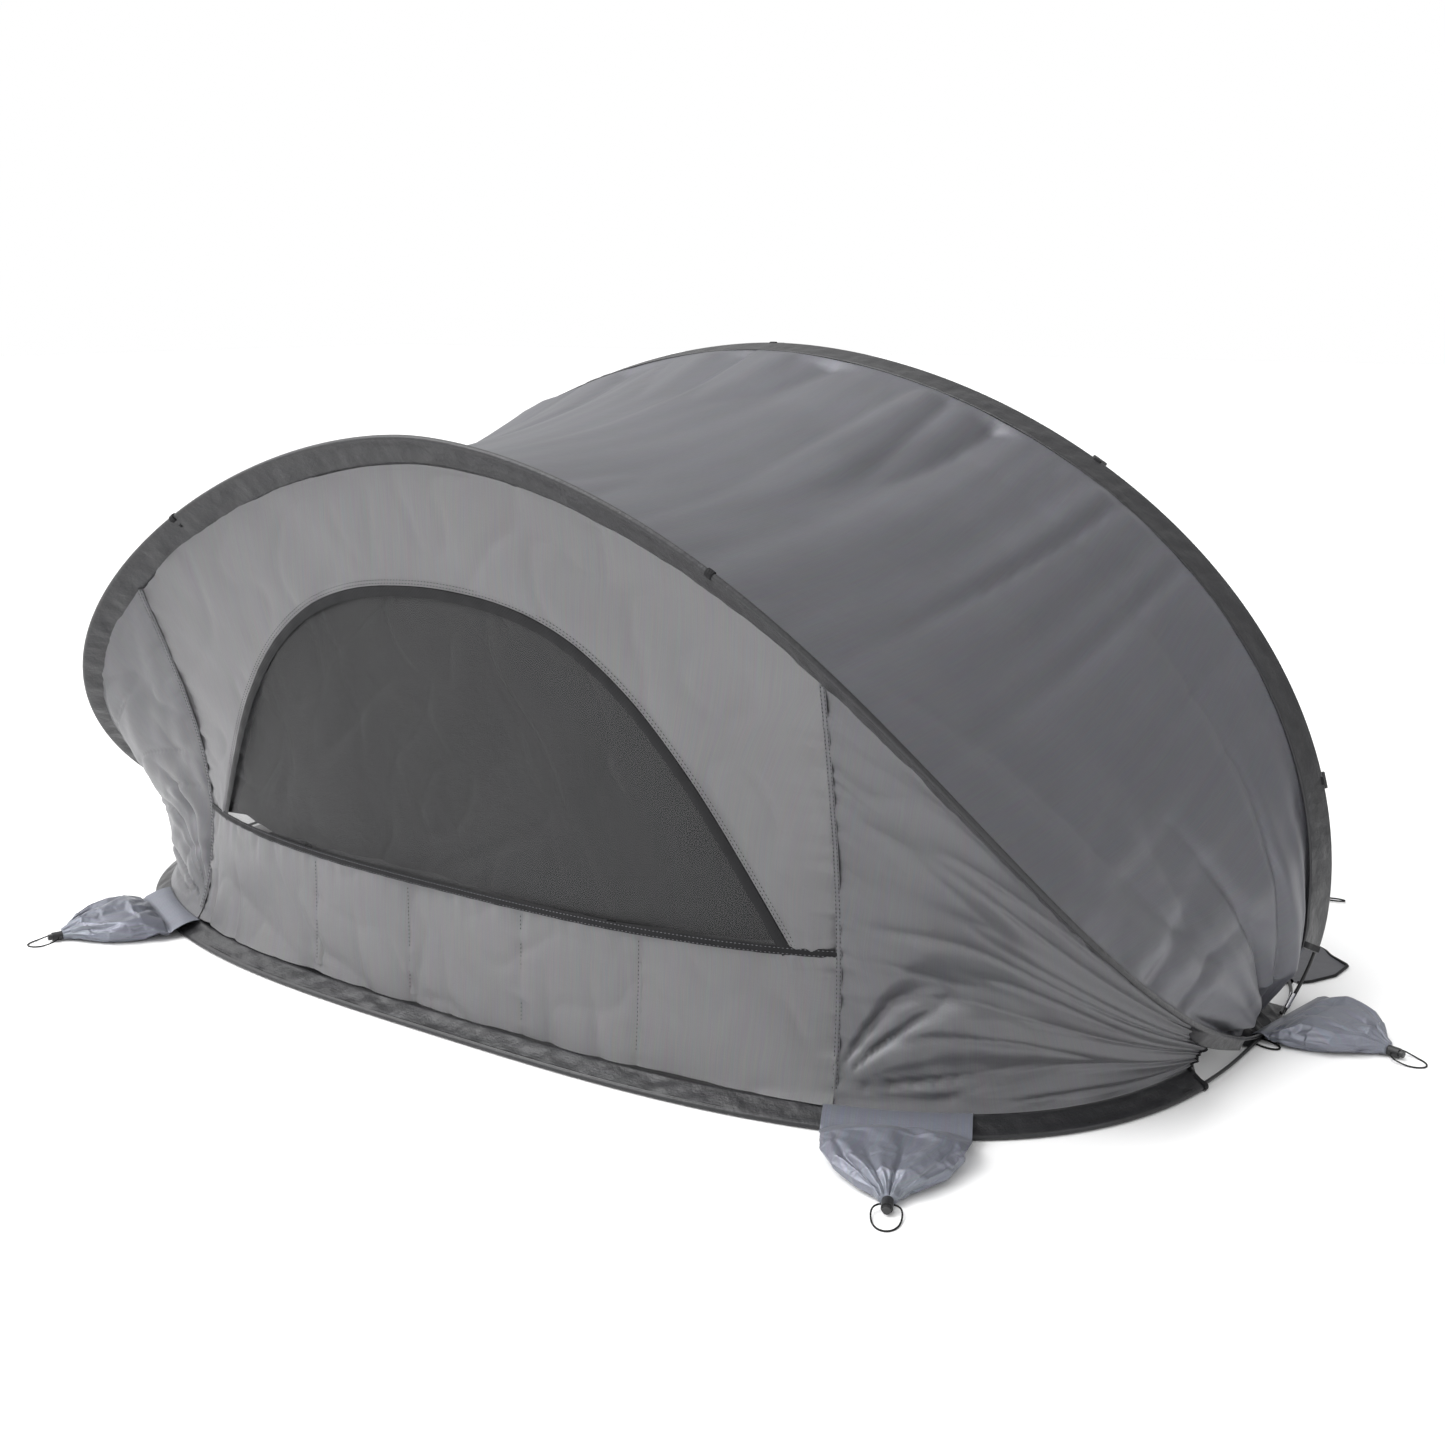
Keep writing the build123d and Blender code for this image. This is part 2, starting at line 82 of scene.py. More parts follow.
WINDOW_SILL = 0.238
WINDOW_EDGE = [
    (0.614, 0.238),
    (0.530, 0.378),
    (0.474, 0.467),
    (0.377, 0.585),
    (0.267, 0.668),
    (0.150, 0.706),
    (0, 0.718),
]
HEM_WIDTH = 0.017
TIE_PLACES = (-0.300, 0.365)
BAND_PLACES = (0.534, -0.534)
TOGGLE_SHARES = (0.115, 0.305, 0.5, 0.695, 0.885)
POCKET_SEAMS = (0.302, 0.079, -0.155, -0.370)

PANEL_HINGE_Y = -0.408
PANEL_LENGTH = 1.040
PANEL_HALF_WIDTH = 1.028
PANEL_POWER = 2.1
PANEL_LOOP_TURNS = (12, 48, 90, 132, 168)
FLOOR_CORNER = [(1.062, -0.150, 0), (1.035, -0.030, 0), (1.020, 0.100, 0), (1.030, 0.200, 0)]
APRON_CORNER = [
    (1.084, -0.188),
    (1.101, -0.204),
    (1.129, -0.255),
    (1.136, -0.314),
    (1.098, -0.344),
    (1.084, -0.364),
    (1.055, -0.386),
    (1.030, -0.404),
]

BAG_WIDTH = 0.210
REAR_BAG_LENGTH = 0.170
CORNER_BAG_LENGTH = 0.150
CORNER_BAG_SEAM = (1.128, -0.014)
CORNER_BAG_SKEW = 0.23
REAR_BAG_SEAM = (0.778, 0.693)
REAR_BAG_OUT = (0.42, 0.91)
LOCK_GAP = 0.003
LOCK_LENGTH = 0.020
LOCK_AXIS_HEIGHT = 0.0092
CORD_DIAMETER = 0.0025
CORD_ROUTE = [
    (0.0, 0.0084, 1.0),
    (0.0015, 0.0144, 0.93),
    (0.008, 0.0195, 0.7),
    (0.018, 0.0205, 0.35),
    (0.03, 0.019, 0.06),
    (0.041, 0.0155, 0.0),
    (0.05, 0.0085, 0.0),
    (0.053, -0.0005, 0.0),
    (0.0495, -0.0095, 0.0),
    (0.0405, -0.016, 0.0),
    (0.03, -0.019, 0.06),
    (0.018, -0.0203, 0.35),
    (0.008, -0.0193, 0.7),
    (0.0015, -0.0144, 0.93),
    (0.0, -0.0084, 1.0),
]
CAMERA_PLACE = (-1.768, 2.612, 1.134)
CAMERA_AZIMUTH = radians(33.66)
CAMERA_PITCH = radians(13.96)
CAMERA_LENS = 42.35
KEY_DIRECTION = (0.55, 0.42, 0.72)
# Share of the full width, height of the top and height of the underside, by share of the bag's length
BAG_WIDTHS = [(0, 1.0), (0.2, 1.0), (0.45, 0.93), (0.65, 0.76), (0.82, 0.48), (0.93, 0.20), (1.0, 0.13)]
BAG_TOPS = [
    (0, 0.0185),
    (0.1, 0.028),
    (0.3, 0.042),
    (0.6, 0.046),
    (0.82, 0.041),
    (0.94, 0.027),
    (1.0, 0.022),
]
BAG_UNDERS = [(0, 0.015), (0.07, 0.0008), (0.9, 0.0008), (1.0, 0.0030)]
BAG_MOVE_CAP = 0.007
BAG_CLEARANCE = 0.0008
BAG_FRAMES = 18
BAG_COLUMNS = 132
BAG_DRAPE_ROWS = 14
BAG_BODY_ROWS = 70
BAGS = ("front_left", "front_right", "rear_left", "rear_right")


# ---------------------------------------------------------------- camera

def make_camera():
    """Camera of the main view."""
    level = cos(CAMERA_PITCH)
    ahead = Vector((sin(CAMERA_AZIMUTH) * level, -cos(CAMERA_AZIMUTH) * level, -sin(CAMERA_PITCH)))
    data = bpy.data.cameras.new("camera")
    data.sensor_width = 36
    data.lens = CAMERA_LENS
    data.clip_start = 0.05
    camera = bpy.data.objects.new("camera", data)
    camera.location = CAMERA_PLACE
    camera.rotation_mode = "QUATERNION"
    camera.rotation_quaternion = ahead.to_track_quat("-Z", "Y")
    bpy.context.scene.collection.objects.link(camera)
    bpy.context.scene.camera = camera


# ---------------------------------------------------------------- curves

def power(value, exponent):
    """Signed power, for superellipse coordinates."""
    return np.sign(value) * np.abs(value) ** exponent


def rear_bow(angle):
    """Points of the rear ground bow; angle runs from the left corner, 0, to the right one, 180."""
    c, s = np.cos(np.radians(angle)), np.sin(np.radians(angle))
    x = HALF_WIDTH * power(c, 2 / REAR_BOW_POWER)
    return np.stack([x, REAR_BOW_REACH * power(s, 2 / REAR_BOW_POWER), x * 0 + GROUND_LINE], -1)


def front_bow(angle):
    """Points of the front ground bow."""
    c, s = np.cos(np.radians(angle)), np.sin(np.radians(angle))
    x = HALF_WIDTH * power(c, 2 / FRONT_BOW_POWER)
    return np.stack([x, -FRONT_BOW_REACH * power(s, 2 / FRONT_BOW_POWER), x * 0 + GROUND_LINE], -1)


def rear_arch(angle):
    """Points of the rear arch."""
    c, s = np.cos(np.radians(angle)), np.sin(np.radians(angle))
    across = power(c, 2 / REAR_ARCH_POWER)
    room = np.maximum(0, 1 - np.abs(across) ** REAR_ARCH_PLAN_POWER)
    y = REAR_ARCH_REACH * room ** (1 / REAR_ARCH_PLAN_ROOT)
    return np.stack([HALF_WIDTH * across, y, REAR_ARCH_HEIGHT * power(s, 2 / REAR_ARCH_POWER)], -1)


def front_arch(angle):
    """Points of the front arch."""
    rise = FRONT_ARCH_HEIGHT - FRONT_ARCH_WIDEST_AT
    narrowing = (1 - (HALF_WIDTH / FRONT_ARCH_HALF_WIDTH) ** FRONT_ARCH_POWER) ** (1 / FRONT_ARCH_POWER)
    start = degrees(asin(narrowing ** (FRONT_ARCH_POWER / 2)))
    turn = np.radians(-start + angle * (180 + 2 * start) / 180)
    lift = power(np.sin(turn), 2 / FRONT_ARCH_POWER)
    z = FRONT_ARCH_WIDEST_AT + lift * np.where(lift > 0, rise, FRONT_ARCH_WIDEST_AT / narrowing)
    share = 1 - np.clip(z / FRONT_ARCH_HEIGHT, 0, 1)
    y = -FRONT_ARCH_LEAN * (1 - share**FRONT_ARCH_LEAN_POWER)
    return np.stack([FRONT_ARCH_HALF_WIDTH * power(np.cos(turn), 2 / FRONT_ARCH_POWER), y, z], -1)


def distances(points):
    """Distance travelled along a row of points, at each of them."""
    return np.concatenate([[0], np.cumsum(np.linalg.norm(np.diff(points, axis=0), axis=1))])


def interpolated(where, places, table):
    """Rows of a table of points, read off between its places."""
    return np.stack([np.interp(where, places, table[:, k]) for k in range(3)], -1)


def along(curve, shares):
    """Points at the given shares, 0 to 1, of a bow's length."""
    dense = curve(np.linspace(0, 180, 2881))
    travelled = distances(dense)
    return interpolated(np.asarray(shares) * travelled[-1], travelled, dense)


def share_at(curve, x):
    """Share of a bow's length at which it reaches a given x on the left half."""
    shares = np.linspace(0, 0.5, 2001)
    reached = along(curve, shares)[:, 0]
    widest = int(np.argmax(reached))
    return float(np.interp(-x, -reached[widest:], shares[widest:]))


def unit(v):
    """Vectors scaled to length 1."""
    return v / np.maximum(np.linalg.norm(v, axis=-1, keepdims=True), 1e-9)


def tangents(points):
    """Unit tangents of a row of points."""
    return unit(np.gradient(points, axis=0))


# ---------------------------------------------------------------- noise and folds

def noise_field(a, b, seed):
    """Smooth noise, about -1 to 1, over two coordinate arrays."""
    flat = [noise.noise((x, y, seed * 7.31)) for x, y in zip(np.ravel(a), np.ravel(b))]
    return np.array(flat).reshape(np.shape(a)) * 1.6


def creases(a, b, seed):
    """Folded noise: sharp ridges with soft valleys, 0 to 1."""
    return (1 - np.minimum(1, np.abs(noise_field(a, b, seed)) * 1.6)) ** 2


def ramp(value, low, high):
    """Smooth step from 0 at low to 1 at high."""
    t = np.clip((value - low) / (high - low), 0, 1)
    return t * t * (3 - 2 * t)


# ---------------------------------------------------------------- mesh makers

def new_object(name, vertices, faces, uvs=None):
    """Smooth-shaded mesh object, with an optional UV for each vertex, in metres."""
    mesh = bpy.data.meshes.new(name)
    mesh.from_pydata([tuple(v) for v in vertices], [], faces)
    mesh.update()
    if uvs is not None:
        layer = mesh.uv_layers.new(name="cloth")
        picked = np.zeros(len(mesh.loops), np.int32)
        mesh.loops.foreach_get("vertex_index", picked)
        layer.data.foreach_set("uv", np.asarray(uvs, np.float32)[picked].ravel())
    mesh.shade_smooth()
    made = bpy.data.objects.new(name, mesh)
    bpy.context.scene.collection.objects.link(made)
    return made


def grid_faces(rows, columns, closed=False):
    """Quads of a grid of vertices; closed joins the last column to the first."""
    faces = []
    for i in range(rows - 1):
        for j in range(columns if closed else columns - 1):
            k = (j + 1) % columns
            faces.append((i * columns + j, i * columns + k, (i + 1) * columns + k, (i + 1) * columns + j))
    return faces


def grid_uvs(points):
    """Cloth coordinates of a grid, in metres along its rows and columns."""
    down = np.linalg.norm(np.diff(points, axis=0), axis=2)
    across = np.linalg.norm(np.diff(points, axis=1), axis=2)
    v = np.concatenate([np.zeros((1, points.shape[1])), np.cumsum(down, axis=0)])
    u = np.concatenate([np.zeros((points.shape[0], 1)), np.cumsum(across, axis=1)], axis=1)
    u -= u[:, u.shape[1] // 2][:, None]
    return np.stack([u, v], -1).reshape(-1, 2)


def grid_sheet(name, points, closed=False):
    """Sheet over a grid of points, shaped rows x columns x 3."""
    rows, columns = points.shape[:2]
    return new_object(name, points.reshape(-1, 3), grid_faces(rows, columns, closed), grid_uvs(points))


def grid_normals(points):
    """Unit normals of a grid of points."""
    return unit(np.cross(np.gradient(points, axis=1), np.gradient(points, axis=0)))


def tube_grid(path, radius, sides=10):
    """Grid of points round a path, for a round tube; radius is a number or one for each point."""
    t = tangents(path)
    up = np.tile([0.0, 0.0, 1.0], (len(path), 1))
    flat = np.abs(t[:, 2]) > 0.95
    up[flat] = [1.0, 0.0, 0.0]
    side = unit(np.cross(t, up))
    top = np.cross(side, t)
    turns = np.linspace(0, 2 * pi, sides, endpoint=False)
    r = np.broadcast_to(np.asarray(radius, float), (len(path),))[:, None, None]
    ring = side[:, None] * np.cos(turns)[None, :, None] + top[:, None] * np.sin(turns)[None, :, None]
    return path[:, None] + ring * r


def capped_tube(name, path, radius, sides=10):
    """Closed round tube along a path."""
    points = tube_grid(path, radius, sides)
    rows = len(path)
    faces = grid_faces(rows, sides, True)
    faces.append(tuple(range(sides)))
    faces.append(tuple((rows - 1) * sides + j for j in reversed(range(sides))))
    return new_object(name, points.reshape(-1, 3), faces, grid_uvs(points))


def ribbon_grid(path, across, width, lift, bulge=0.0, columns=5):
    """Grid of points of a flat tape along a path, lifted off its base and a little domed."""
    offsets = np.linspace(-0.5, 0.5, columns)
    dome = 1 - (2 * offsets) ** 2
    base = path[:, None] + across[:, None] * (offsets * width)[None, :, None]
    return base + lift[:, None] * (1 + bulge * dome)[None, :, None]


def stitches(name, path, normal, length=0.0042, gap=0.0022, thick=0.0012):
    """Row of raised thread stitches along a path."""
    travelled = distances(path)
    count = int(travelled[-1] / (length + gap))
    starts = (np.arange(count) + 0.3) * (length + gap)
    a, m, b = (interpolated(starts + step, travelled, path) for step in (0, length / 2, length))
    n = unit(interpolated(starts, travelled, normal))
    side = unit(np.cross(interpolated(starts, travelled, tangents(path)), n)) * thick / 2
    vertices, faces = [], []
    top = m + n * thick
    for k in range(count):
        i = len(vertices)
        vertices += [a[k], m[k] + side[k], b[k], m[k] - side[k], top[k]]
        faces += [(i, i + 1, i + 4), (i + 1, i + 2, i + 4), (i + 2, i + 3, i + 4), (i + 3, i, i + 4)]
    return new_object(name, vertices, faces)


def joined(name, parts):
    """Several mesh objects as one."""
    bpy.ops.object.select_all(action="DESELECT")
    for part in parts:
        part.select_set(True)
    bpy.context.view_layer.objects.active = parts[0]
    bpy.ops.object.join()
    parts[0].name = name
    parts[0].data.name = name
    return parts[0]


# ---------------------------------------------------------------- vertices and finishing

def vertex_points(piece):
    """Vertices of a mesh object, one row for each."""
    flat = np.zeros(len(piece.data.vertices) * 3, np.float32)
    piece.data.vertices.foreach_get("co", flat)
    return flat.reshape(-1, 3)


def dress(piece, material):
    """Give a piece its material."""
    piece.data.materials.clear()
    piece.data.materials.append(material)
    return piece


def fan_fold(piece):
    """Bake a piece's placement into its mesh."""
    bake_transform(piece)
    co = vertex_points(piece)
    return piece


# ---------------------------------------------------------------- materials

def node_tree(name):
    """New material, with its node tree and its shader."""
    material = bpy.data.materials.new(name)
    material.use_nodes = True
    tree = material.node_tree
    return material, tree, tree.nodes["Principled BSDF"]


def add_node(tree, kind, inputs=None, **settings):
    """Add a node, set its properties, then its inputs: a value, or an output socket to link."""
    made = tree.nodes.new(kind)
    for key, value in settings.items():
        setattr(made, key, value)
    for key, value in (inputs or {}).items():
        if isinstance(value, bpy.types.NodeSocket):
            tree.links.new(value, made.inputs[key])
        else:
            made.inputs[key].default_value = value
    return made


def shade(colour, factor):
    """RGBA of a colour made lighter or darker."""
    return (*[min(1, c * factor) for c in colour], 1)


def noise_texture(tree, vector, scale, detail, roughness=0.5):
    """Noise texture node."""
    inputs = {"Vector": vector, "Scale": scale, "Detail": detail, "Roughness": roughness}
    return add_node(tree, "ShaderNodeTexNoise", inputs)


def wander(tree, shader, factor, low, high):
    """Roughness that runs from low to high with a factor."""
    inputs = {"Value": factor, "To Min": low, "To Max": high}
    spread = add_node(tree, "ShaderNodeMapRange", inputs)
    tree.links.new(spread.outputs["Result"], shader.inputs["Roughness"])


def bump_node(tree, height, strength, distance):
    """Bump node over a height."""
    return add_node(tree, "ShaderNodeBump", {"Height": height, "Strength": strength, "Distance": distance})


def colour_blend(tree, factor, low, high):
    """Colour output that runs from low to high with a factor."""
    mix = add_node(tree, "ShaderNodeMix", data_type="RGBA")
    tree.links.new(factor, mix.inputs["Factor"])
    mix.inputs["A"].default_value = low
    mix.inputs["B"].default_value = high
    return mix.outputs["Result"]


def cloth_material(
    name, colour, rough, sheen=0.2, weave=1500, metal=0.0, crumple=0.5, alpha=1.0, variation=0.1
):
    """Woven synthetic cloth: crossing threads, slubs, small crumples and soft colour variation."""
    material, tree, shader = node_tree(name)
    uv = add_node(tree, "ShaderNodeUVMap", uv_map="cloth").outputs["UV"]
    place = add_node(tree, "ShaderNodeTexCoord").outputs["Object"]
    waves = {"Vector": uv, "Scale": weave / 20, "Distortion": 0.4}
    warp = add_node(tree, "ShaderNodeTexWave", waves, bands_direction="X").outputs["Fac"]
    weft = add_node(tree, "ShaderNodeTexWave", waves, bands_direction="Y").outputs["Fac"]
    threads = add_node(tree, "ShaderNodeMath", {0: warp, 1: weft}, operation="MULTIPLY")
    patches = noise_texture(tree, place, 5.0, 5.0).outputs["Fac"]
    slub_place = add_node(tree, "ShaderNodeMapping", {"Vector": uv, "Scale": (900, 12, 1)})
    slubs = noise_texture(tree, slub_place.outputs["Vector"], 1.0, 2.0)
    wide = colour_blend(tree, patches, shade(colour, 1 - variation), shade(colour, 1 + variation))
    fine = add_node(tree, "ShaderNodeMix", {"Factor": 0.22}, data_type="RGBA", blend_type="OVERLAY")
    tree.links.new(wide, fine.inputs["A"])
    tree.links.new(slubs.outputs["Color"], fine.inputs["B"])
    tree.links.new(fine.outputs["Result"], shader.inputs["Base Color"])
    wander(tree, shader, patches, rough - 0.06, rough + 0.08)
    crumples = noise_texture(tree, place, 38.0, 6.0, 0.62)
    low = bump_node(tree, crumples.outputs["Fac"], crumple, 0.004)
    high = bump_node(tree, threads.outputs["Value"], 0.25, 0.0002)
    tree.links.new(low.outputs["Normal"], high.inputs["Normal"])
    tree.links.new(high.outputs["Normal"], shader.inputs["Normal"])
    shader.inputs["Sheen Weight"].default_value = sheen
    shader.inputs["Sheen Roughness"].default_value = 0.4
    shader.inputs["Metallic"].default_value = metal
    shader.inputs["Alpha"].default_value = alpha
    return material


def webbing_material(name, colour, rough):
    """Ribbed narrow tape."""
    material, tree, shader = node_tree(name)
    place = add_node(tree, "ShaderNodeTexCoord").outputs["Object"]
    waves = {"Vector": place, "Scale": 110.0, "Distortion": 1.0}
    ribs = add_node(tree, "ShaderNodeTexWave", waves, bands_direction="DIAGONAL")
    grime = noise_texture(tree, place, 60.0, 4.0).outputs["Fac"]
    tone = colour_blend(tree, grime, shade(colour, 0.75), shade(colour, 1.5))
    tree.links.new(tone, shader.inputs["Base Color"])
    wander(tree, shader, grime, rough - 0.08, rough + 0.1)
    bump = bump_node(tree, ribs.outputs["Fac"], 0.5, 0.0004)
    tree.links.new(bump.outputs["Normal"], shader.inputs["Normal"])
    shader.inputs["Specular IOR Level"].default_value = 0.2
    return material


def hard_material(name, colour, rough, metal=0.0):
    """Moulded plastic, glass-fibre rod or metal, with a fine grain and scuffs."""
    material, tree, shader = node_tree(name)
    place = add_node(tree, "ShaderNodeTexCoord").outputs["Object"]
    grain = noise_texture(tree, place, 900.0, 3.0)
    scuffs = noise_texture(tree, place, 70.0, 6.0, 0.7).outputs["Fac"]
    tone = colour_blend(tree, scuffs, shade(colour, 0.8), shade(colour, 1.35))
    tree.links.new(tone, shader.inputs["Base Color"])
    wander(tree, shader, scuffs, rough - 0.1, rough + 0.15)
    bump = bump_node(tree, grain.outputs["Fac"], 0.3, 0.0002)
    tree.links.new(bump.outputs["Normal"], shader.inputs["Normal"])
    shader.inputs["Metallic"].default_value = metal
    return material


canopy_cloth = cloth_material(
    "canopy_cloth", (0.108, 0.109, 0.122), 0.42, sheen=0.06, metal=0.50, crumple=0.16
)
wall_cloth = cloth_material("wall_cloth", (0.130, 0.129, 0.134), 0.46, sheen=0.06, metal=0.25, crumple=0.20)
side_cloth = cloth_material("side_cloth", (0.108, 0.108, 0.115), 0.42, sheen=0.06, metal=0.45, crumple=0.20)
sleeve_cloth = cloth_material("sleeve_cloth", (0.020, 0.020, 0.022), 0.36, sheen=0.03, metal=0.2, crumple=0.6)
mesh_cloth = cloth_material(
    "mesh_cloth", (0.016, 0.016, 0.017), 0.62, sheen=0.03, weave=700, crumple=0.12, alpha=0.70
)
cover_cloth = cloth_material("cover_cloth", (0.042, 0.042, 0.045), 0.45, sheen=0.05, crumple=0.4)
floor_cloth = cloth_material("floor_cloth", (0.070, 0.071, 0.076), 0.45, sheen=0.05, crumple=0.4)
panel_cloth = cloth_material("panel_cloth", (0.100, 0.101, 0.112), 0.40, sheen=0.06, metal=0.35, crumple=0.3)
bag_cloth = cloth_material("bag_cloth", (0.172, 0.180, 0.215), 0.38, sheen=0.08, metal=0.35, crumple=0.3)
black_webbing = webbing_material("black_webbing", (0.008, 0.008, 0.009), 0.6)
black_binding = webbing_material("black_binding", (0.008, 0.008, 0.009), 0.5)
pale_thread = webbing_material("pale_thread", (0.12, 0.12, 0.13), 0.6)
dark_thread = webbing_material("dark_thread", (0.012, 0.012, 0.013), 0.6)
cord_cover = webbing_material("cord_cover", (0.008, 0.008, 0.008), 0.65)
rod_gloss = hard_material("rod_gloss", (0.012, 0.012, 0.013), 0.28)
lock_plastic = hard_material("lock_plastic", (0.016, 0.016, 0.017), 0.42)
button_plastic = hard_material("button_plastic", (0.026, 0.026, 0.027), 0.38)
ferrule_metal = hard_material("ferrule_metal", (0.62, 0.62, 0.64), 0.25, metal=1.0)
spring_steel = hard_material("spring_steel", (0.5, 0.5, 0.5), 0.3, metal=1.0)


# ---------------------------------------------------------------- seams that the sheets share

def arch_partner(points, curve, shift):
    """For each arch point, the point of another bow at the same x share."""
    shares = np.linspace(0, 1, 1201)
    table = along(curve, shares)
    order = np.argsort(table[:, 0])
    x = np.clip(points[:, 0], -HALF_WIDTH * shift, HALF_WIDTH * shift)
    return interpolated(x, table[order, 0], table[order])


ARCH_SHARES = np.linspace(0.0, 1.0, ARCH_STEPS + 1)
REAR_LINE = along(rear_arch, ARCH_SHARES)
FRONT_LINE = along(front_arch, ARCH_SHARES)
TO_WALL = unit(arch_partner(REAR_LINE, rear_bow, 0.985) - REAR_LINE)
TO_CANOPY = unit(FRONT_LINE - REAR_LINE)
REAR_FIN_DIRECTION = unit(0.62 * TO_WALL + 0.38 * TO_CANOPY)
FROM_END = np.minimum(ARCH_SHARES, 1 - ARCH_SHARES)
REAR_FIN_WIDTH = REAR_FIN_END + (REAR_FIN - REAR_FIN_END) * ramp(FROM_END, 0.045, 0.17)
REAR_SEAM = REAR_LINE + REAR_FIN_DIRECTION * REAR_FIN_WIDTH[:, None]
FRONT_FIN_DIRECTION = -TO_CANOPY
FRONT_SEAM = FRONT_LINE + FRONT_FIN_DIRECTION * FRONT_FIN


def row_at(table, shares):
    """Values of a per-share table at other shares."""
    return interpolated(shares, ARCH_SHARES, table)


def bow_normal(points):
    """Horizontal outward unit normals of the rear ground bow."""
    x = power(points[:, 0] / HALF_WIDTH, REAR_BOW_POWER - 1) / HALF_WIDTH
    y = np.abs(points[:, 1] / REAR_BOW_REACH) ** (REAR_BOW_POWER - 1) / REAR_BOW_REACH
    return unit(np.stack([x, y, x * 0], -1))


def wall_tables():
    """Bottom seam, top seam, inward direction and sag of the rear wall, by place along the bow."""
    ends = share_at(rear_bow, CUT_BOW_X)
    shares = np.linspace(ends, 1 - ends, 801)
    bow = along(rear_bow, shares)
    outwards = bow_normal(bow)
    low = bow - outwards * GROUND_FIN
    low[:, 2] += GROUND_FIN_RISE
    share = np.abs(bow[:, 0]) / HALF_WIDTH
    widest = CUT_BOW_X / HALF_WIDTH
    outer = (CUT_TOP_X / HALF_WIDTH - widest) * (share / widest) ** 6
    top_x = np.sign(bow[:, 0]) * HALF_WIDTH * (share + outer)
    order = np.argsort(REAR_LINE[:, 0])
    high = interpolated(top_x, REAR_LINE[order, 0], REAR_SEAM[order])
    tall = high[:, 2] - low[:, 2]
    seam_tall = float(np.interp(-SEAM_X, -bow[:401, 0], tall[:401]))
    inner = 0.010 + 0.057 * np.minimum(1, np.abs(bow[:, 0]) / SEAM_X) ** 2.5
    sag = inner * np.where(np.abs(bow[:, 0]) > SEAM_X, np.clip(tall / seam_tall, 0, 1) ** 1.3, 1)
    return bow[:, 0], low, high, -outwards, sag


WALL_X, WALL_LOW, WALL_HIGH, WALL_INWARD, WALL_SAG = wall_tables()


def wall_row(x):
    """Bottom, top, inward direction and sag of the rear wall at given bow x values."""
    tables = (WALL_LOW, WALL_HIGH, WALL_INWARD)
    low, high, inward = (interpolated(-x, -WALL_X, table) for table in tables)
    return low, high, inward, np.interp(-x, -WALL_X, WALL_SAG)


def wall_by_share(x, v, inset=0.0):
    """Wall point at bow x and share v of its height, pushed inwards by an inset."""
    shape = np.shape(x)
    low, high, inward, sag = wall_row(np.ravel(x))
    v = np.ravel(v)[:, None]
    hang = np.sin(pi * np.clip(v, 0, 1) ** 0.8) * sag[:, None]
    points = low + (high - low) * v + inward * (hang + np.reshape(np.broadcast_to(inset, shape), -1)[:, None])
    return points.reshape(*shape, 3)


def wall_at(x, z, inset=0.0):
    """Wall point at bow x and height z."""
    low, high = wall_row(np.ravel(x))[:2]
    v = (np.ravel(z) - low[:, 2]) / (high[:, 2] - low[:, 2])
    return wall_by_share(x, v.reshape(np.shape(x)), inset)


def wall_wrinkles(x, z, seed):
    """Small relief of the stretched wall: long tension folds, and puckers beside the seams."""
    long_folds = noise_field(x * 4.0 + z * 1.2, z * 9.0 - x * 5.0, seed) * 0.0042
    beside_seam = np.exp(-np.abs(np.abs(x) - SEAM_X) / 0.030)
    puckers = noise_field(x * 3, z * 75, seed + 1) * beside_seam * 0.0034
    above_sill = np.exp(-np.abs(z - WINDOW_SILL) / 0.022)
    sill_puckers = noise_field(x * 60, z * 6, seed + 2) * above_sill * 0.0028
    fine = creases(x * 7 + z * 5, z * 8 - x * 6, seed + 3) * 0.0026
    return long_folds + puckers + sill_puckers + fine


# ---------------------------------------------------------------- rear wall

def window_outline(count, grow=0.0):
    """Smooth window outline from the left sill corner over the top to the right one, as x and z."""
    knots = np.array(WINDOW_EDGE + [(-x, z) for x, z in reversed(WINDOW_EDGE[:-1])])
    steps = distances(knots)
    fine = np.linspace(0, steps[-1], 400)
    x, z = np.interp(fine, steps, knots[:, 0]), np.interp(fine, steps, knots[:, 1])
    for _ in range(260):
        x[1:-1] += 0.25 * (x[:-2] - 2 * x[1:-1] + x[2:])
        z[1:-1] += 0.25 * (z[:-2] - 2 * z[1:-1] + z[2:])
    out = np.stack([np.gradient(z), -np.gradient(x)], -1)
    out /= np.linalg.norm(out, axis=1, keepdims=True)
    x, z = x + out[:, 0] * grow, z + out[:, 1] * grow
    length = np.concatenate([[0], np.cumsum(np.hypot(np.diff(x), np.diff(z)))])
    even = np.linspace(0, length[-1], count)
    return np.interp(even, length, x), np.interp(even, length, z)


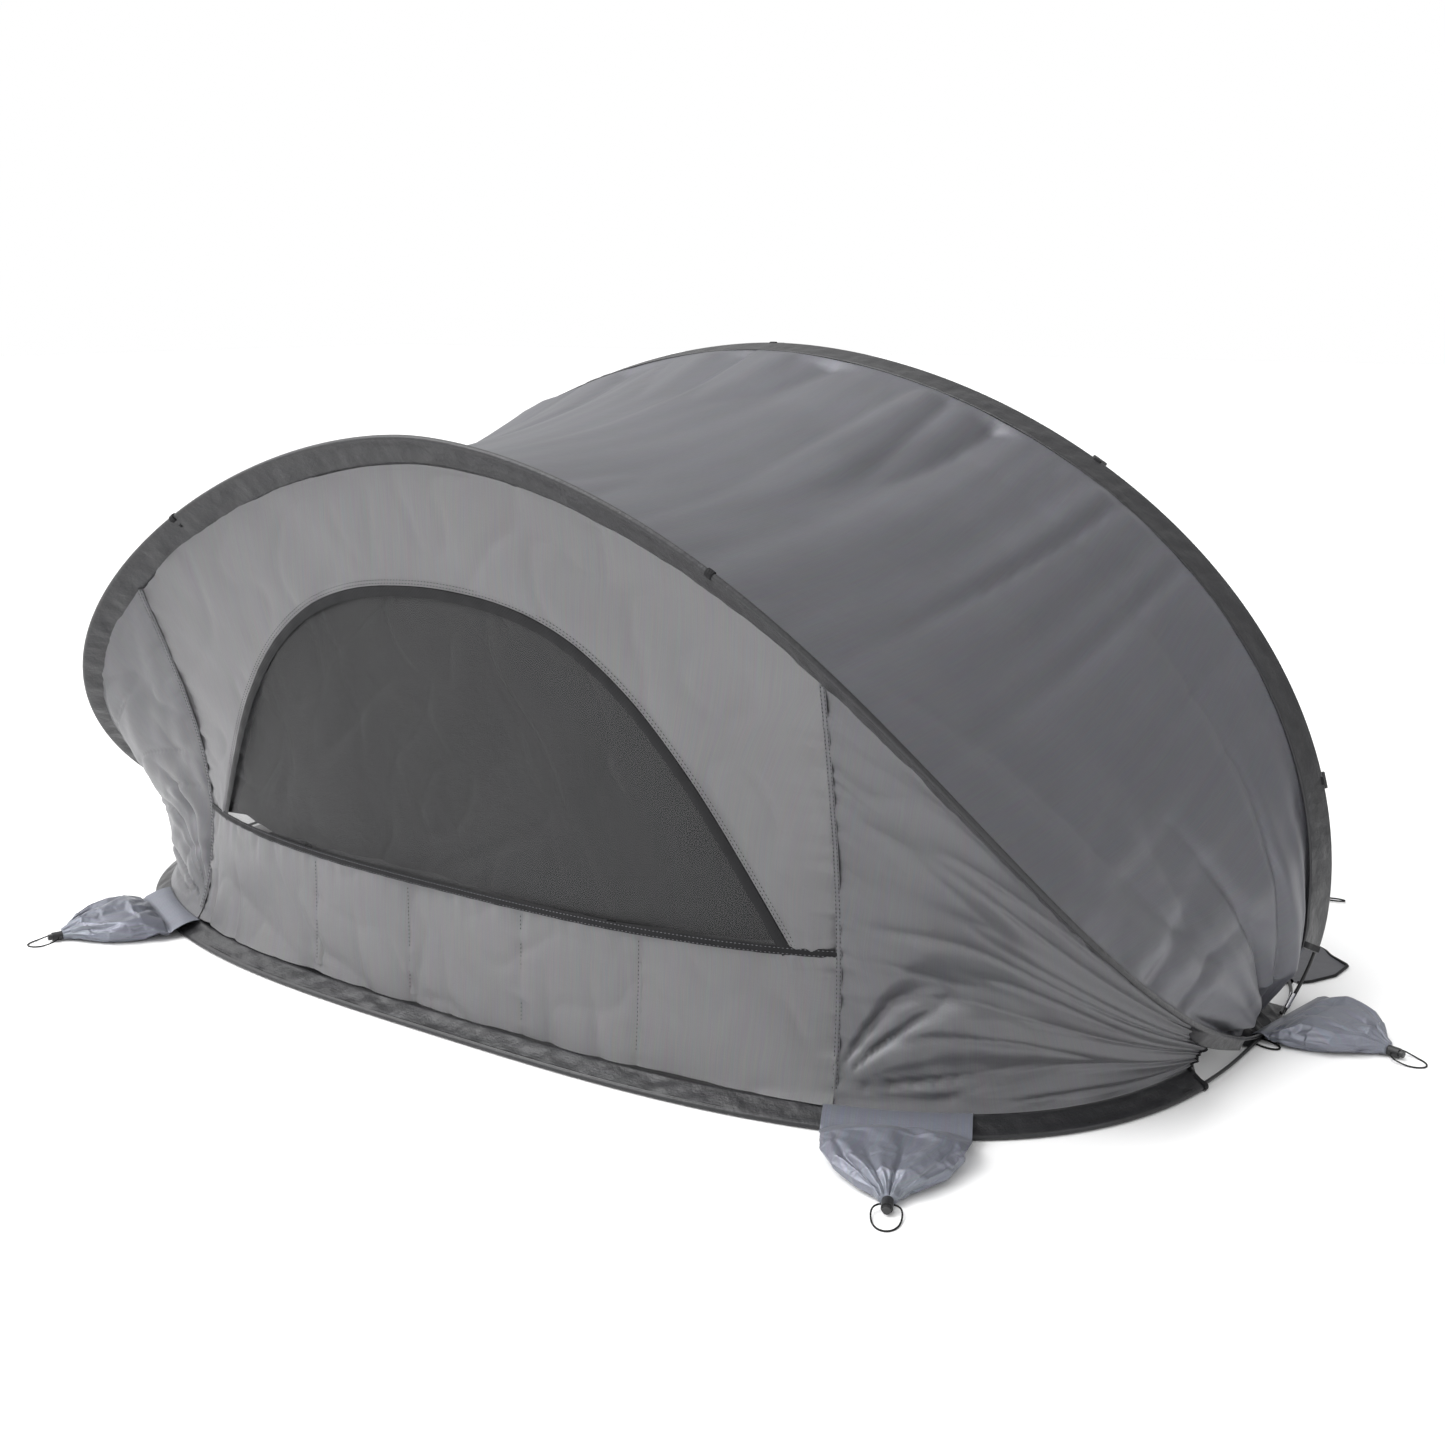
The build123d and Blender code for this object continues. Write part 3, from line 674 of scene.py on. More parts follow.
def make_rear_panel():
    """Panel round the window: rings of points from the window's edge out to the seams."""
    x_in, z_in = window_outline(281)
    top = np.linspace(SEAM_X, -SEAM_X, 361)
    high = wall_row(top)[1]
    side_z = np.linspace(WINDOW_SILL, high[0, 2], 90)
    outer_x = np.concatenate([np.full(89, SEAM_X), top, np.full(89, -SEAM_X)])
    outer_z = np.concatenate([side_z[:-1], high[:, 2], side_z[:-1][::-1]])
    angle_in = np.arctan2(z_in - WINDOW_SILL, x_in)
    angle_out = np.arctan2(outer_z - WINDOW_SILL, outer_x)
    corner = angle_out[89]
    near = int(np.argmin(np.abs(angle_in - corner)))
    far = len(angle_in) - 1 - near
    angle_in[near], angle_in[far] = corner, pi - corner
    x_out, z_out = np.interp(angle_in, angle_out, outer_x), np.interp(angle_in, angle_out, outer_z)
    rings = np.linspace(0, 1, 30)[:, None]
    x = x_in[None] * (1 - rings) + x_out[None] * rings
    z = z_in[None] * (1 - rings) + z_out[None] * rings
    held = ramp(rings, 0.0, 0.06) * (1 - ramp(rings, 0.97, 1.0))
    points = wall_at(x, z, wall_wrinkles(x, z, 3) * held)
    piece = grid_sheet("rear_panel_cloth", points)
    dress(piece, wall_cloth)
    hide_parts("rear_panel")
    fan_fold(piece)


def make_lower_panel():
    """Lower rear panel with the lines of stitching that divide the pocket inside."""
    x = np.linspace(SEAM_X, -SEAM_X, 340)[None] * np.ones((34, 1))
    low = wall_row(x[0])[0]
    z = low[:, 2][None] + (WINDOW_SILL - low[:, 2][None]) * np.linspace(0, 1, 34)[:, None]
    relief = wall_wrinkles(x, z, 9) + creases(x * 5 - z * 4, z * 3 + x * 0.8, 11) * 0.004
    for seam in POCKET_SEAMS:
        near = np.exp(-np.abs(x - seam) / 0.014)
        relief += near * 0.0035 + near * noise_field(x * 8, z * 60, seam * 9) * 0.002
    relief += creases(x * 9, z * 2.2, 5) * 0.005 * (1 - ramp(z, 0.06, 0.20))
    points = wall_at(x, z, relief * ramp(WINDOW_SILL - z, 0.0, 0.01))
    piece = grid_sheet("lower_panel_cloth", points)
    dress(piece, wall_cloth)
    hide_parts("lower_rear_panel")
    fan_fold(piece)
    rows = []
    for seam in POCKET_SEAMS:
        height = np.linspace(0.050, WINDOW_SILL - 0.010, 60)
        line = wall_at(np.full(60, seam), height, 0.0028)
        rows.append(stitches("pocket_stitch", line, np.tile([0.0, 1.0, 0.15], (60, 1))))
    stitch = joined("pocket_stitches", rows)
    dress(stitch, dark_thread)
    fan_fold(stitch)


def make_side_panels():
    """Side panels from the seams to the cut edges near the corners."""
    for name, side in (("left", 1), ("right", -1)):
        x = side * (SEAM_X + (CUT_BOW_X - SEAM_X) * np.linspace(0, 1, 130) ** 0.8)[None] * np.ones((90, 1))
        v = np.linspace(0, 1, 90)[:, None] * np.ones((1, 130))
        to_corner = (np.abs(x) - SEAM_X) / (CUT_BOW_X - SEAM_X)
        fans = noise_field(v * 7 + to_corner * 0.8, to_corner * 1.2, 21 + side) * 0.010
        fans = fans * to_corner * (1 - 0.6 * to_corner)
        sharp = creases(v * 9 - to_corner * 2.0, to_corner * 1.6, 23 + side) * 0.006
        sharp = sharp * ramp(to_corner, 0.0, 0.3)
        z = v * 0.68
        seam = noise_field(x * 3, z * 75, 31) * np.exp(-(np.abs(x) - SEAM_X) / 0.035) * 0.003
        diagonal = noise_field(x * 14 + side * z * 7, z * 3 - side * x * 3, 27 + side) * 0.0035
        turn = np.arctan2(z - 0.02, np.abs(x) - SEAM_X + 0.01)
        reach = np.hypot(z - 0.02, np.abs(x) - SEAM_X)
        pulled = creases(turn * 4.2, reach * 1.2, 29 + side) * 0.016
        pulled = pulled * ramp(reach, 0.0, 0.1) * ramp(0.55 - reach, 0.0, 0.4)
        held = ramp(v, 0, 0.04) * ramp(1 - v, 0, 0.04)
        points = wall_by_share(x, v, (fans + sharp + diagonal + pulled + seam) * held)
        piece = grid_sheet(f"side_panel_cloth_{name}", points)
        dress(piece, side_cloth)
        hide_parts(f"side_panel_{name}")
        edge = points[:, -1]
        binding = capped_tube(f"side_binding_{name}", edge, 0.0028, 8)
        dress(binding, black_binding)
        fan_fold(piece)
        fan_fold(binding)


def make_window():
    """Insect mesh with its hem and the rows of stitching round it."""
    heights = WINDOW_SILL + (0.716 - WINDOW_SILL) * np.linspace(0, 1, 60) ** 0.9
    x_edge, z_edge = window_outline(801)
    half = np.interp(heights, z_edge[:401], x_edge[:401])
    x = np.linspace(1, -1, 150)[None] * half[:, None]
    z = heights[:, None] * np.ones((1, 150))
    relief = noise_field(x * 5, z * 5 + x * 2, 41) * 0.004 + creases(x * 8 + z * 3, z * 6, 42) * 0.002
    piece = grid_sheet("window_mesh_cloth", wall_at(x, z, 0.003 + relief))
    dress(piece, mesh_cloth)
    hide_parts("window_mesh")
    fan_fold(piece)

    rows = np.stack(window_outline(300, -0.001), -1), np.stack(window_outline(300, -HEM_WIDTH), -1)
    steps = np.linspace(0, 1, 6)[:, None, None]
    flat = rows[0][None] * (1 - steps) + rows[1][None] * steps
    ripple = noise_field(flat[..., 0] * 40, flat[..., 1] * 40, 44) * 0.0008
    inset = -0.0012 - 0.001 * np.sin(pi * steps[..., 0]) + ripple
    hem = grid_sheet("window_hem", wall_at(flat[..., 0], flat[..., 1], inset))
    dress(hem, black_binding)
    fan_fold(hem)

    parts = []
    for grow in (0.0035, 0.0085):
        x, z = window_outline(420, grow)
        line = wall_at(x, z, -0.0010)
        parts.append(stitches("hem_stitch", line, -wall_row(x)[2]))
    stitch = joined("window_stitches", parts)
    dress(stitch, dark_thread)
    fan_fold(stitch)


def tape_on_wall(name, x, z, across_x, across_z, width, lift):
    """Tape on the outside of the wall along a line of x and z, made of points across its width."""
    offsets = np.linspace(-0.5, 0.5, 6)[:, None] * width
    px = x[None] + offsets * across_x
    pz = z[None] + offsets * across_z
    dome = 1 - (2 * np.linspace(-0.5, 0.5, 6)[:, None]) ** 2
    pucker = noise_field(px * 50, pz * 50, 51) * 0.0009
    return grid_sheet(name, wall_at(px, pz, -lift * (0.35 + dome) + pucker))


def make_tapes():
    """Sill tape, seam tapes and their stitching, on the outside of the rear wall."""
    x = np.linspace(SEAM_X, -SEAM_X, 380)
    sill = tape_on_wall("sill_tape", x, np.full(380, WINDOW_SILL), 0, 1, 0.013, 0.0018)
    dress(sill, black_webbing)
    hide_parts("window_sill_tape")
    fan_fold(sill)
    parts = []
    for rise in (-0.004, 0.004):
        line = wall_at(x, np.full(380, WINDOW_SILL + rise), -0.0022)
        parts.append(stitches("sill_stitch", line, -wall_row(x)[2]))
    stitch = joined("sill_stitches", parts)
    dress(stitch, pale_thread)
    fan_fold(stitch)
    seams, threads = [], []
    for side in (1, -1):
        high = wall_row(np.array([side * SEAM_X]))[1]
        z = np.linspace(0.046, high[0, 2] - 0.004, 170)
        seam_x = np.full(170, side * SEAM_X)
        seams.append(tape_on_wall("seam_tape", seam_x, z, 1, 0, 0.009, 0.0022))
        for shift in (-0.0028, 0.0028):
            line = wall_at(seam_x + shift, z, -0.0026)
            threads.append(stitches("seam_stitch", line, -wall_row(seam_x)[2]))
    tape = joined("seam_tapes", seams)
    dress(tape, side_cloth)
    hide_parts("side_seam_tapes")
    fan_fold(tape)
    stitch = joined("seam_stitches", threads)
    dress(stitch, dark_thread)
    fan_fold(stitch)


def make_cover_and_ties():
    """Inner window cover, its two roll-up ties and the pocket on the inside of the wall."""
    x_edge, z_edge = window_outline(801, 0.012)
    heights = WINDOW_SILL + (z_edge[400] - 0.001 - WINDOW_SILL) * np.linspace(0, 1, 80) ** 0.92
    half = np.interp(heights, z_edge[:401], x_edge[:401])
    x = np.linspace(1, -1, 170)[None] * half[:, None]
    z = heights[:, None] * np.ones((1, 170))
    hang = noise_field(x * 3.2 + z * 2, z * 2.2, 61) * 0.012
    folds = creases(x * 6 + z * 5, z * 3 - x * 3, 62) * 0.010
    folds = folds + creases(x * 11 - z * 7, z * 4 + x * 5, 63) * 0.006
    points = wall_at(x, z, 0.020 + hang + folds)
    piece = grid_sheet("window_cover_cloth", points)
    dress(piece, cover_cloth)
    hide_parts("window_cover")
    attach(piece, "window_cover")
    ties = []
    for place in TIE_PLACES:
        drop = np.linspace(WINDOW_SILL - 0.014, WINDOW_SILL + 0.042, 24)
        centre = wall_at(np.full(24, place), drop, 0.034 + 0.004 * np.sin(np.linspace(0, 5, 24)))
        across = np.tile([1.0, 0.0, 0.0], (24, 1))
        lift = np.tile([0.0, -0.0008, 0.0], (24, 1))
        ties.append(grid_sheet("tie", ribbon_grid(centre, across, 0.018, lift)))
    tie = joined("window_tie_tabs", ties)
    dress(tie, black_webbing)
    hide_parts("window_ties")
    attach(tie, "window_sill")
    x = np.linspace(0.56, -0.56, 220)[None] * np.ones((26, 1))
    z = np.linspace(0.040, 0.185, 26)[:, None] * np.ones((1, 220))
    slack = 0.012 + 0.012 * np.sin(pi * (z - 0.04) / 0.29) + noise_field(x * 9, z * 8, 65) * 0.004
    for seam in POCKET_SEAMS:
        slack = slack * (1 - 0.8 * np.exp(-((x - seam) / 0.02) ** 2))
    pocket = grid_sheet("pocket_cloth", wall_at(x, z, 0.004 + np.maximum(0.001, slack)))
    dress(pocket, wall_cloth)
    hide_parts("inner_pocket")
    fan_fold(pocket)


# ---------------------------------------------------------------- sleeves

def sleeve(name, path, towards, width, material, seed, ripple=0.0022):
    """Fabric sleeve round a rod: a tear-shaped section that closes at the sewn edge of its fin."""
    width = np.broadcast_to(np.asarray(width, float), (len(path),))[:, None]
    t = tangents(path)
    fin = unit(towards - t * np.sum(towards * t, axis=1, keepdims=True))
    across = np.cross(t, fin)
    turns = np.radians(np.linspace(-105, 105, 9))
    flanks = np.array([0.22, 0.45, 0.7, 0.88, 1.0])
    rows = []
    travelled = distances(path)
    for turn in turns:
        rows.append(path - fin * SLEEVE_RADIUS * cos(turn) + across * SLEEVE_RADIUS * sin(turn))
    for side, shares in ((1, flanks), (-1, flanks[::-1])):
        for share in shares:
            half = SLEEVE_RADIUS * (1 - share) * 0.75 + 0.0007
            wave = noise_field(travelled * 26, np.full_like(travelled, share * 1.7), seed)
            wave = wave + 0.6 * noise_field(travelled * 60, np.full_like(travelled, share * 3.0), seed + 1)
            lift = side * half + wave * ripple * sin(pi * min(1.0, share))
            rows.append(path + fin * width * share + across * lift[:, None])
    points = np.stack(rows, axis=1)
    piece = new_object(name, points.reshape(-1, 3), grid_faces(len(path), len(rows), True), grid_uvs(points))
    dress(piece, material)
    return piece


def make_sleeves():
    """Sleeves of the four bows and the rods of the two arches."""
    ends = 0.30 / 3.26
    shares = np.linspace(ends, 1 - ends, 560)
    bow = along(rear_bow, shares)
    outwards = bow_normal(bow)
    bow[:, 2] = BOW_AXIS_HEIGHT
    rise = np.array([0, 0, GROUND_FIN_RISE]) - outwards * GROUND_FIN
    width = float(np.hypot(GROUND_FIN, GROUND_FIN_RISE)) + 0.002
    piece = sleeve("rear_ground_sleeve_cloth", bow, unit(rise), width, sleeve_cloth, 71)
    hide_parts("rear_ground_sleeve")
    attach(piece, "root")

    bow = along(front_bow, np.linspace(0.07, 0.93, 380))
    bow[:, 2] = BOW_AXIS_HEIGHT
    inward = unit(np.array([0.0, 0.2, 0.006]) - bow * [0.6, 1, 0])
    piece = sleeve(
        "front_ground_sleeve_cloth", bow, inward, 0.035, sleeve_cloth, 75, ripple=0.001
    )
    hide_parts("front_ground_sleeve")
    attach(piece, "root")

    shares = np.linspace(0.045, 0.955, 620)
    path, fin = row_at(REAR_LINE, shares), row_at(REAR_FIN_DIRECTION, shares)
    width = np.interp(shares, ARCH_SHARES, REAR_FIN_WIDTH) + 0.003
    piece = sleeve("rear_arch_sleeve_cloth", path, fin, width, sleeve_cloth, 79)
    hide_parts("rear_arch_sleeve")
    fan_fold(piece)
    rod = capped_tube("rear_arch_rod_bar", along(rear_arch, np.linspace(0.004, 0.996, 400)), ROD_RADIUS, 12)
    dress(rod, rod_gloss)
    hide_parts("rear_arch_rod")
    fan_fold(rod)

    shares = np.linspace(0.037, 0.963, 600)
    path, fin = row_at(FRONT_LINE, shares), row_at(FRONT_FIN_DIRECTION, shares)
    piece = sleeve("front_arch_sleeve_cloth", path, fin, FRONT_FIN + 0.003, sleeve_cloth, 83)
    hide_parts("front_arch_sleeve")
    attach(piece, "front_arch")
    rod = capped_tube("front_arch_rod_bar", along(front_arch, np.linspace(0.006, 0.994, 400)), ROD_RADIUS, 12)
    dress(rod, rod_gloss)
    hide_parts("front_arch_rod")
    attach(rod, "front_arch")


def arch_wrap(name, point, tangent, fin, width, length):
    """Webbing band wrapped round a sleeve and its fin."""
    fin = unit(fin - tangent * np.dot(fin, tangent))
    across = np.cross(tangent, fin)
    reach = SLEEVE_RADIUS + 0.0016
    outline = [(-reach * cos(a), reach * sin(a)) for a in np.radians(np.linspace(-110, 110, 13))]
    outline += [(length * s, 0.0034 - 0.0014 * s) for s in (0.3, 0.6, 0.95)]
    outline += [(length * s, -0.0034 + 0.0014 * s) for s in (0.95, 0.6, 0.3)]
    rings = []
    for shift in np.linspace(-0.5, 0.5, 5):
        swell = 1.0 + 0.05 * cos(pi * shift)
        centre = point + tangent * shift * width
        rings.append([centre + fin * a * swell + across * b * swell for a, b in outline])
    points = np.array(rings)
    return new_object(name, points.reshape(-1, 3), grid_faces(5, len(outline), True), grid_uvs(points))


def make_sleeve_ends():
    """Webbing sewn over the open ends of the sleeves."""
    t = tangents(FRONT_LINE)
    ends = []
    for share in (0.0385, 0.9615):
        k = int(round(share * ARCH_STEPS))
        fin = FRONT_FIN_DIRECTION[k]
        ends.append(arch_wrap("sleeve_end", FRONT_LINE[k], t[k], fin, 0.010, FRONT_FIN + 0.001))
    end = joined("front_sleeve_end_webbing", ends)
    dress(end, black_webbing)
    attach(end, "front_arch")
    bow = along(rear_bow, ARCH_SHARES)
    bow[:, 2] = BOW_AXIS_HEIGHT
    rise = unit(np.array([0, 0, GROUND_FIN_RISE]) - bow_normal(bow) * GROUND_FIN)
    t = tangents(bow)
    ends = []
    for share in (0.0935, 0.9065):
        k = int(round(share * ARCH_STEPS))
        ends.append(arch_wrap("sleeve_end", bow[k], t[k], rise[k], 0.010, GROUND_FIN + 0.009))
    end = joined("ground_sleeve_end_webbing", ends)
    dress(end, black_webbing)
    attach(end, "root")


def make_bands():
    """Webbing bands on the two arches, and the loops that carry the front arch's toggles."""
    rear, front = [], []
    t = tangents(REAR_LINE)
    for x in BAND_PLACES:
        k = int(np.argmin(np.abs(REAR_LINE[:, 0] - x)))
        rear.append(arch_wrap("rear_band", REAR_LINE[k], t[k], REAR_FIN_DIRECTION[k], 0.011, 0.020))
    band = joined("rear_arch_band_webbing", rear)
    dress(band, black_webbing)
    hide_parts("rear_arch_bands")
    fan_fold(band)
    t = tangents(FRONT_LINE)
    for share in TOGGLE_SHARES:
        k = int(round(share * ARCH_STEPS))
        front.append(arch_wrap("front_band", FRONT_LINE[k], t[k], FRONT_FIN_DIRECTION[k], 0.013, 0.024))
        drop = np.linspace(0, 1, 14)[:, None]
        start = FRONT_LINE[k] + np.array([0, -SLEEVE_RADIUS, 0])
        end = FRONT_LINE[k] + np.array([0, -0.018, 0.0])
        lead = start + (end - start) * drop + t[k] * 0.003 * np.sin(drop * pi)
        front.append(capped_tube("toggle_lead", lead, 0.0014, 8))
    band = joined("front_arch_band_webbing", front)
    dress(band, black_webbing)
    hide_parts("front_arch_bands")
    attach(band, "front_arch")


# ---------------------------------------------------------------- canopy

def canopy_edges(shares):
    """Rear and front edges of the canopy; below the sleeves they gather to the corners."""
    rear, front = row_at(REAR_SEAM, shares), row_at(FRONT_SEAM, shares)
    for k, share in enumerate(shares):
        from_end = min(share, 1 - share)
        side = 1 if share < 0.5 else -1
        if from_end < 0.05:
            gather = np.array([side * 1.068, 0.060, 0.013])
            start = row_at(REAR_SEAM, np.array([0.05 if side > 0 else 0.95]))[0]
            rear[k] = gather + (start - gather) * (from_end / 0.05) ** 0.9
            gather = np.array([side * 1.074, 0.036, 0.017])
            start = row_at(FRONT_SEAM, np.array([0.05 if side > 0 else 0.95]))[0]
            front[k] = gather + (start - gather) * (from_end / 0.05) ** 0.9
    return rear, front


def make_canopy():
    """Roof sheet between the arches: a saddle with tension folds that run out to the corners."""
    middle_shares = np.linspace(0.12, 0.88, 260)[:-1]
    end_shares = np.linspace(0.0, 0.12, 70)[:-1], np.linspace(0.88, 1, 70)
    shares = np.concatenate([end_shares[0], middle_shares, end_shares[1]])
    rear, front = canopy_edges(shares)
    v = np.linspace(0, 1, 96)[:, None, None]
    points = rear[None] * (1 - v) + front[None] * v
    inward = grid_normals(points)
    middle = np.array([0, 0.2, 0.3])
    facing = np.sign(np.sum(inward * (middle - points), axis=2, keepdims=True))
    inward = inward * facing
    u = shares[None] * np.ones((96, 1))
    across = v[..., 0] * np.ones((1, len(shares)))
    from_corner = np.minimum(u, 1 - u)
    span = np.linalg.norm(front - rear, axis=1)[None]
    sag = 0.050 * np.sin(pi * across) * np.clip(span / 1.05, 0, 1) ** 2
    metres = u * 3.4
    skew = metres + across * 0.08 * np.sign(0.5 - u)
    tension = noise_field(skew * 3.5, across * 0.8, 91) * 0.0080
    tension += noise_field(skew * 9, across * 1.0, 92) * 0.0060
    tension += noise_field(skew * 21, across * 1.8, 97) * 0.0028
    tension += creases(skew * 8, across * 0.9, 93) * 0.0080
    tension *= 0.45 + 0.8 * ramp(noise_field(metres * 1.2, across * 1.5, 98), -0.4, 0.6)
    corner = np.exp(-from_corner * 3.4 / 0.42)
    side = np.where(u < 0.5, 1.0, 2.0)
    fans = noise_field(across * 7 + side * 5, from_corner * 5, 94) * 0.030
    fans += creases(across * 5.5 + side * 3, from_corner * 6, 95) * 0.026
    relief = tension * (1 - corner) + fans * corner * np.clip(span / 0.28, 0, 1)
    puckers = noise_field(metres * 55, across * 12, 96) * 0.0016
    puckers = puckers * (np.exp(-across / 0.05) + np.exp(-(1 - across) / 0.05))
    held = ramp(across, 0, 0.035) * ramp(1 - across, 0, 0.035)
    points = points + inward * (sag + (relief + puckers) * held)[..., None]
    piece = grid_sheet("canopy_cloth", points)
    dress(piece, canopy_cloth)
    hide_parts("canopy")
    fan_fold(piece)


# ---------------------------------------------------------------- ground

def star_sheet(name, outline, centre, rings, height, seed):
    """Sheet on the ground, filled with rings of points from its outline in to a centre."""
    shares = np.linspace(1, 0.012, rings)[:, None, None]
    points = centre + (outline[None] - centre) * shares
    points[..., 2] = ground_lift(points, shares[..., 0], height, seed)
    count = len(outline)
    vertices = points.reshape(-1, 3)
    faces = grid_faces(rings, count, True)
    last = (rings - 1) * count
    faces.append(tuple(last + j for j in range(count)))
    return new_object(name, vertices, faces, vertices[:, :2])


def evenly(points, count):
    """The same line with evenly spaced points."""
    travelled = distances(points)
    return interpolated(np.linspace(0, travelled[-1], count), travelled, points)


def ground_lift(points, shares, height, seed, base=0.0010):
    """Height of a sheet on the ground: low creases that die out at its edge, where shares reach 1."""
    x, y = points[..., 0], points[..., 1]
    lift = creases(x * 3 + y, y * 4 - x, seed) * height + noise_field(x * 6, y * 6, seed + 1) * height * 0.4
    return base + np.maximum(0, lift) * ramp(1 - shares, 0.0, 0.05)


def make_floor():
    """Ground sheet inside the two bows, tucked under their sleeves."""
    back = along(rear_bow, np.linspace(0.094, 0.906, 220))
    back -= bow_normal(back) * 0.004
    front = along(front_bow, np.linspace(0.075, 0.925, 200))[::-1] * [0.996, 0.985, 1]
    cut = np.array(FLOOR_CORNER)
    outline = np.concatenate([back, cut[::-1] * [-1, 1, 1], front, cut, back[:1]])
    outline = evenly(outline, 421)[:-1]
    piece = star_sheet("floor_cloth", outline * [1, 1, 0], np.array([0, 0.15, 0.0]), 60, 0.004, 101)
    dress(piece, floor_cloth)
    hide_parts("floor")
    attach(piece, "root")


def make_front_panel():
    """Front closing panel with its apron and dark binding, laid out on the ground."""
    turns = np.linspace(0, pi, 181)
    rim_x = PANEL_HALF_WIDTH * power(np.cos(turns), 2 / PANEL_POWER)
    rim_y = PANEL_HINGE_Y - PANEL_LENGTH * power(np.sin(turns), 2 / PANEL_POWER)
    rim = np.stack([rim_x, rim_y, rim_x * 0], -1)[1:-1]
    corner = np.array([(x, y, 0) for x, y in APRON_CORNER])
    bow = along(front_bow, np.linspace(0.075, 0.925, 200)) * [1, 1, 0] + [0, -0.006, 0]
    bottom = evenly(np.concatenate([corner, rim, corner[::-1] * [-1, 1, 1]]), 420)
    top = evenly(bow, 420)
    shares = np.linspace(0, 1, 90)[:, None, None]
    points = top[None] * (1 - shares) + bottom[None] * shares
    from_edge = np.abs(2 * shares[..., 0] - 1) * np.ones((1, 420))
    points[..., 2] = ground_lift(points, from_edge, 0.007, 111)
    piece = grid_sheet("front_panel_cloth", points)
    dress(piece, panel_cloth)
    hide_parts("front_panel", "front_apron")
    binding = capped_tube("front_panel_binding", bottom + [0, 0, 0.0030], 0.0026, 8)
    dress(binding, black_binding)
    for each in (piece, binding):
        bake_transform(each)


def make_panel_loops():
    """Elastic loops on the rim of the front panel."""
    loops = []
    for turn in np.radians(PANEL_LOOP_TURNS):
        x = PANEL_HALF_WIDTH * power(cos(turn), 2 / PANEL_POWER)
        y = PANEL_HINGE_Y - PANEL_LENGTH * power(sin(turn), 2 / PANEL_POWER)
        out = np.array([cos(turn), -sin(turn), 0])
        side = np.array([out[1], -out[0], 0])
        around = np.linspace(-0.42 * pi, 1.42 * pi, 40)[:, None]
        centre = np.array([x, y, 0.0034])
        ring = centre + out * (0.020 + 0.020 * np.sin(around)) + side * 0.007 * np.cos(around)
        loops.append(capped_tube("rim_loop", ring, 0.0016, 8))
    loop = joined("front_panel_loop_cords", loops)
    dress(loop, cord_cover)
    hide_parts("front_panel_loops")
    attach(loop, "front_panel")


def make_corners():
    """Crumpled gussets at the corners and the elastic peg loops that come out under them."""
    loops = []
    for name, side in (("left", 1), ("right", -1)):
        a = np.linspace(0, 1, 46)[:, None] * np.ones((1, 60))
        b = np.linspace(0, 1, 60)[None] * np.ones((46, 1))
        x = 0.985 + 0.110 * a + 0.010 * np.sin(pi * b)
        y = -0.075 + 0.190 * b
        crest = np.sin(pi * a) ** 0.7 * np.sin(pi * b) ** 0.7
        crumple = 0.012 * creases(a * 3, b * 6, 121 + side)
        z = 0.0024 + crest * (0.018 + crumple + 0.008 * noise_field(a * 8, b * 9, 123))
        points = np.stack([side * x, y, np.maximum(0.0022, z)], -1)
        gusset = grid_sheet(f"corner_gusset_cloth_{name}", points)
        dress(gusset, sleeve_cloth)
        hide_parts(f"corner_gusset_{name}")
        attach(gusset, "root")
        turn = np.linspace(-0.9, 0.9, 40)[:, None] * pi
        centre = np.array([side * 1.094, 0.082, 0.0022])
        out = unit(np.array([side * 1.0, 0.35, 0]))
        lateral = np.array([-out[1], out[0], 0])
        ring = centre + out * (0.016 + 0.026 * np.cos(turn)) + lateral * 0.013 * np.sin(turn)
        loops.append(capped_tube("peg_loop", ring, 0.0016, 8))
    loop = joined("peg_loop_cords", loops)
    dress(loop, cord_cover)
    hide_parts("peg_loops")
    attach(loop, "root")


# ---------------------------------------------------------------- sandbags

def bag_frame(name):
    """Seam's middle, outward direction and sideways direction of a sandbag."""
    side = 1 if name.endswith("left") else -1
    if name.startswith("front"):
        origin = np.array([side * CORNER_BAG_SEAM[0], CORNER_BAG_SEAM[1], 0])
        out = unit(np.array([side, CORNER_BAG_SKEW, 0.0]))
    else:
        origin = np.array([side * REAR_BAG_SEAM[0], REAR_BAG_SEAM[1], 0])
        out = unit(np.array([side * REAR_BAG_OUT[0], REAR_BAG_OUT[1], 0.0]))
    return origin, out, np.array([out[1], -out[0], 0])


def bag_seam(name, shift):
    """Distance and height at which the bag's cloth is sewn on, for each place across the bag."""
    if name.startswith("front"):
        return np.full_like(shift, -0.018), np.full_like(shift, 0.012)
    origin, out, across = bag_frame(name)
    seam = along(rear_bow, np.linspace(0.05, 0.95, 1500))
    seam = seam - bow_normal(seam) * GROUND_FIN
    sideways = (seam - origin) @ across
    near = (seam - origin) @ out > -0.25
    order = np.argsort(sideways[near])
    distance = np.interp(shift, sideways[near][order], ((seam - origin) @ out)[near][order])
    return distance, np.full_like(shift, GROUND_LINE + GROUND_FIN_RISE + 0.002)


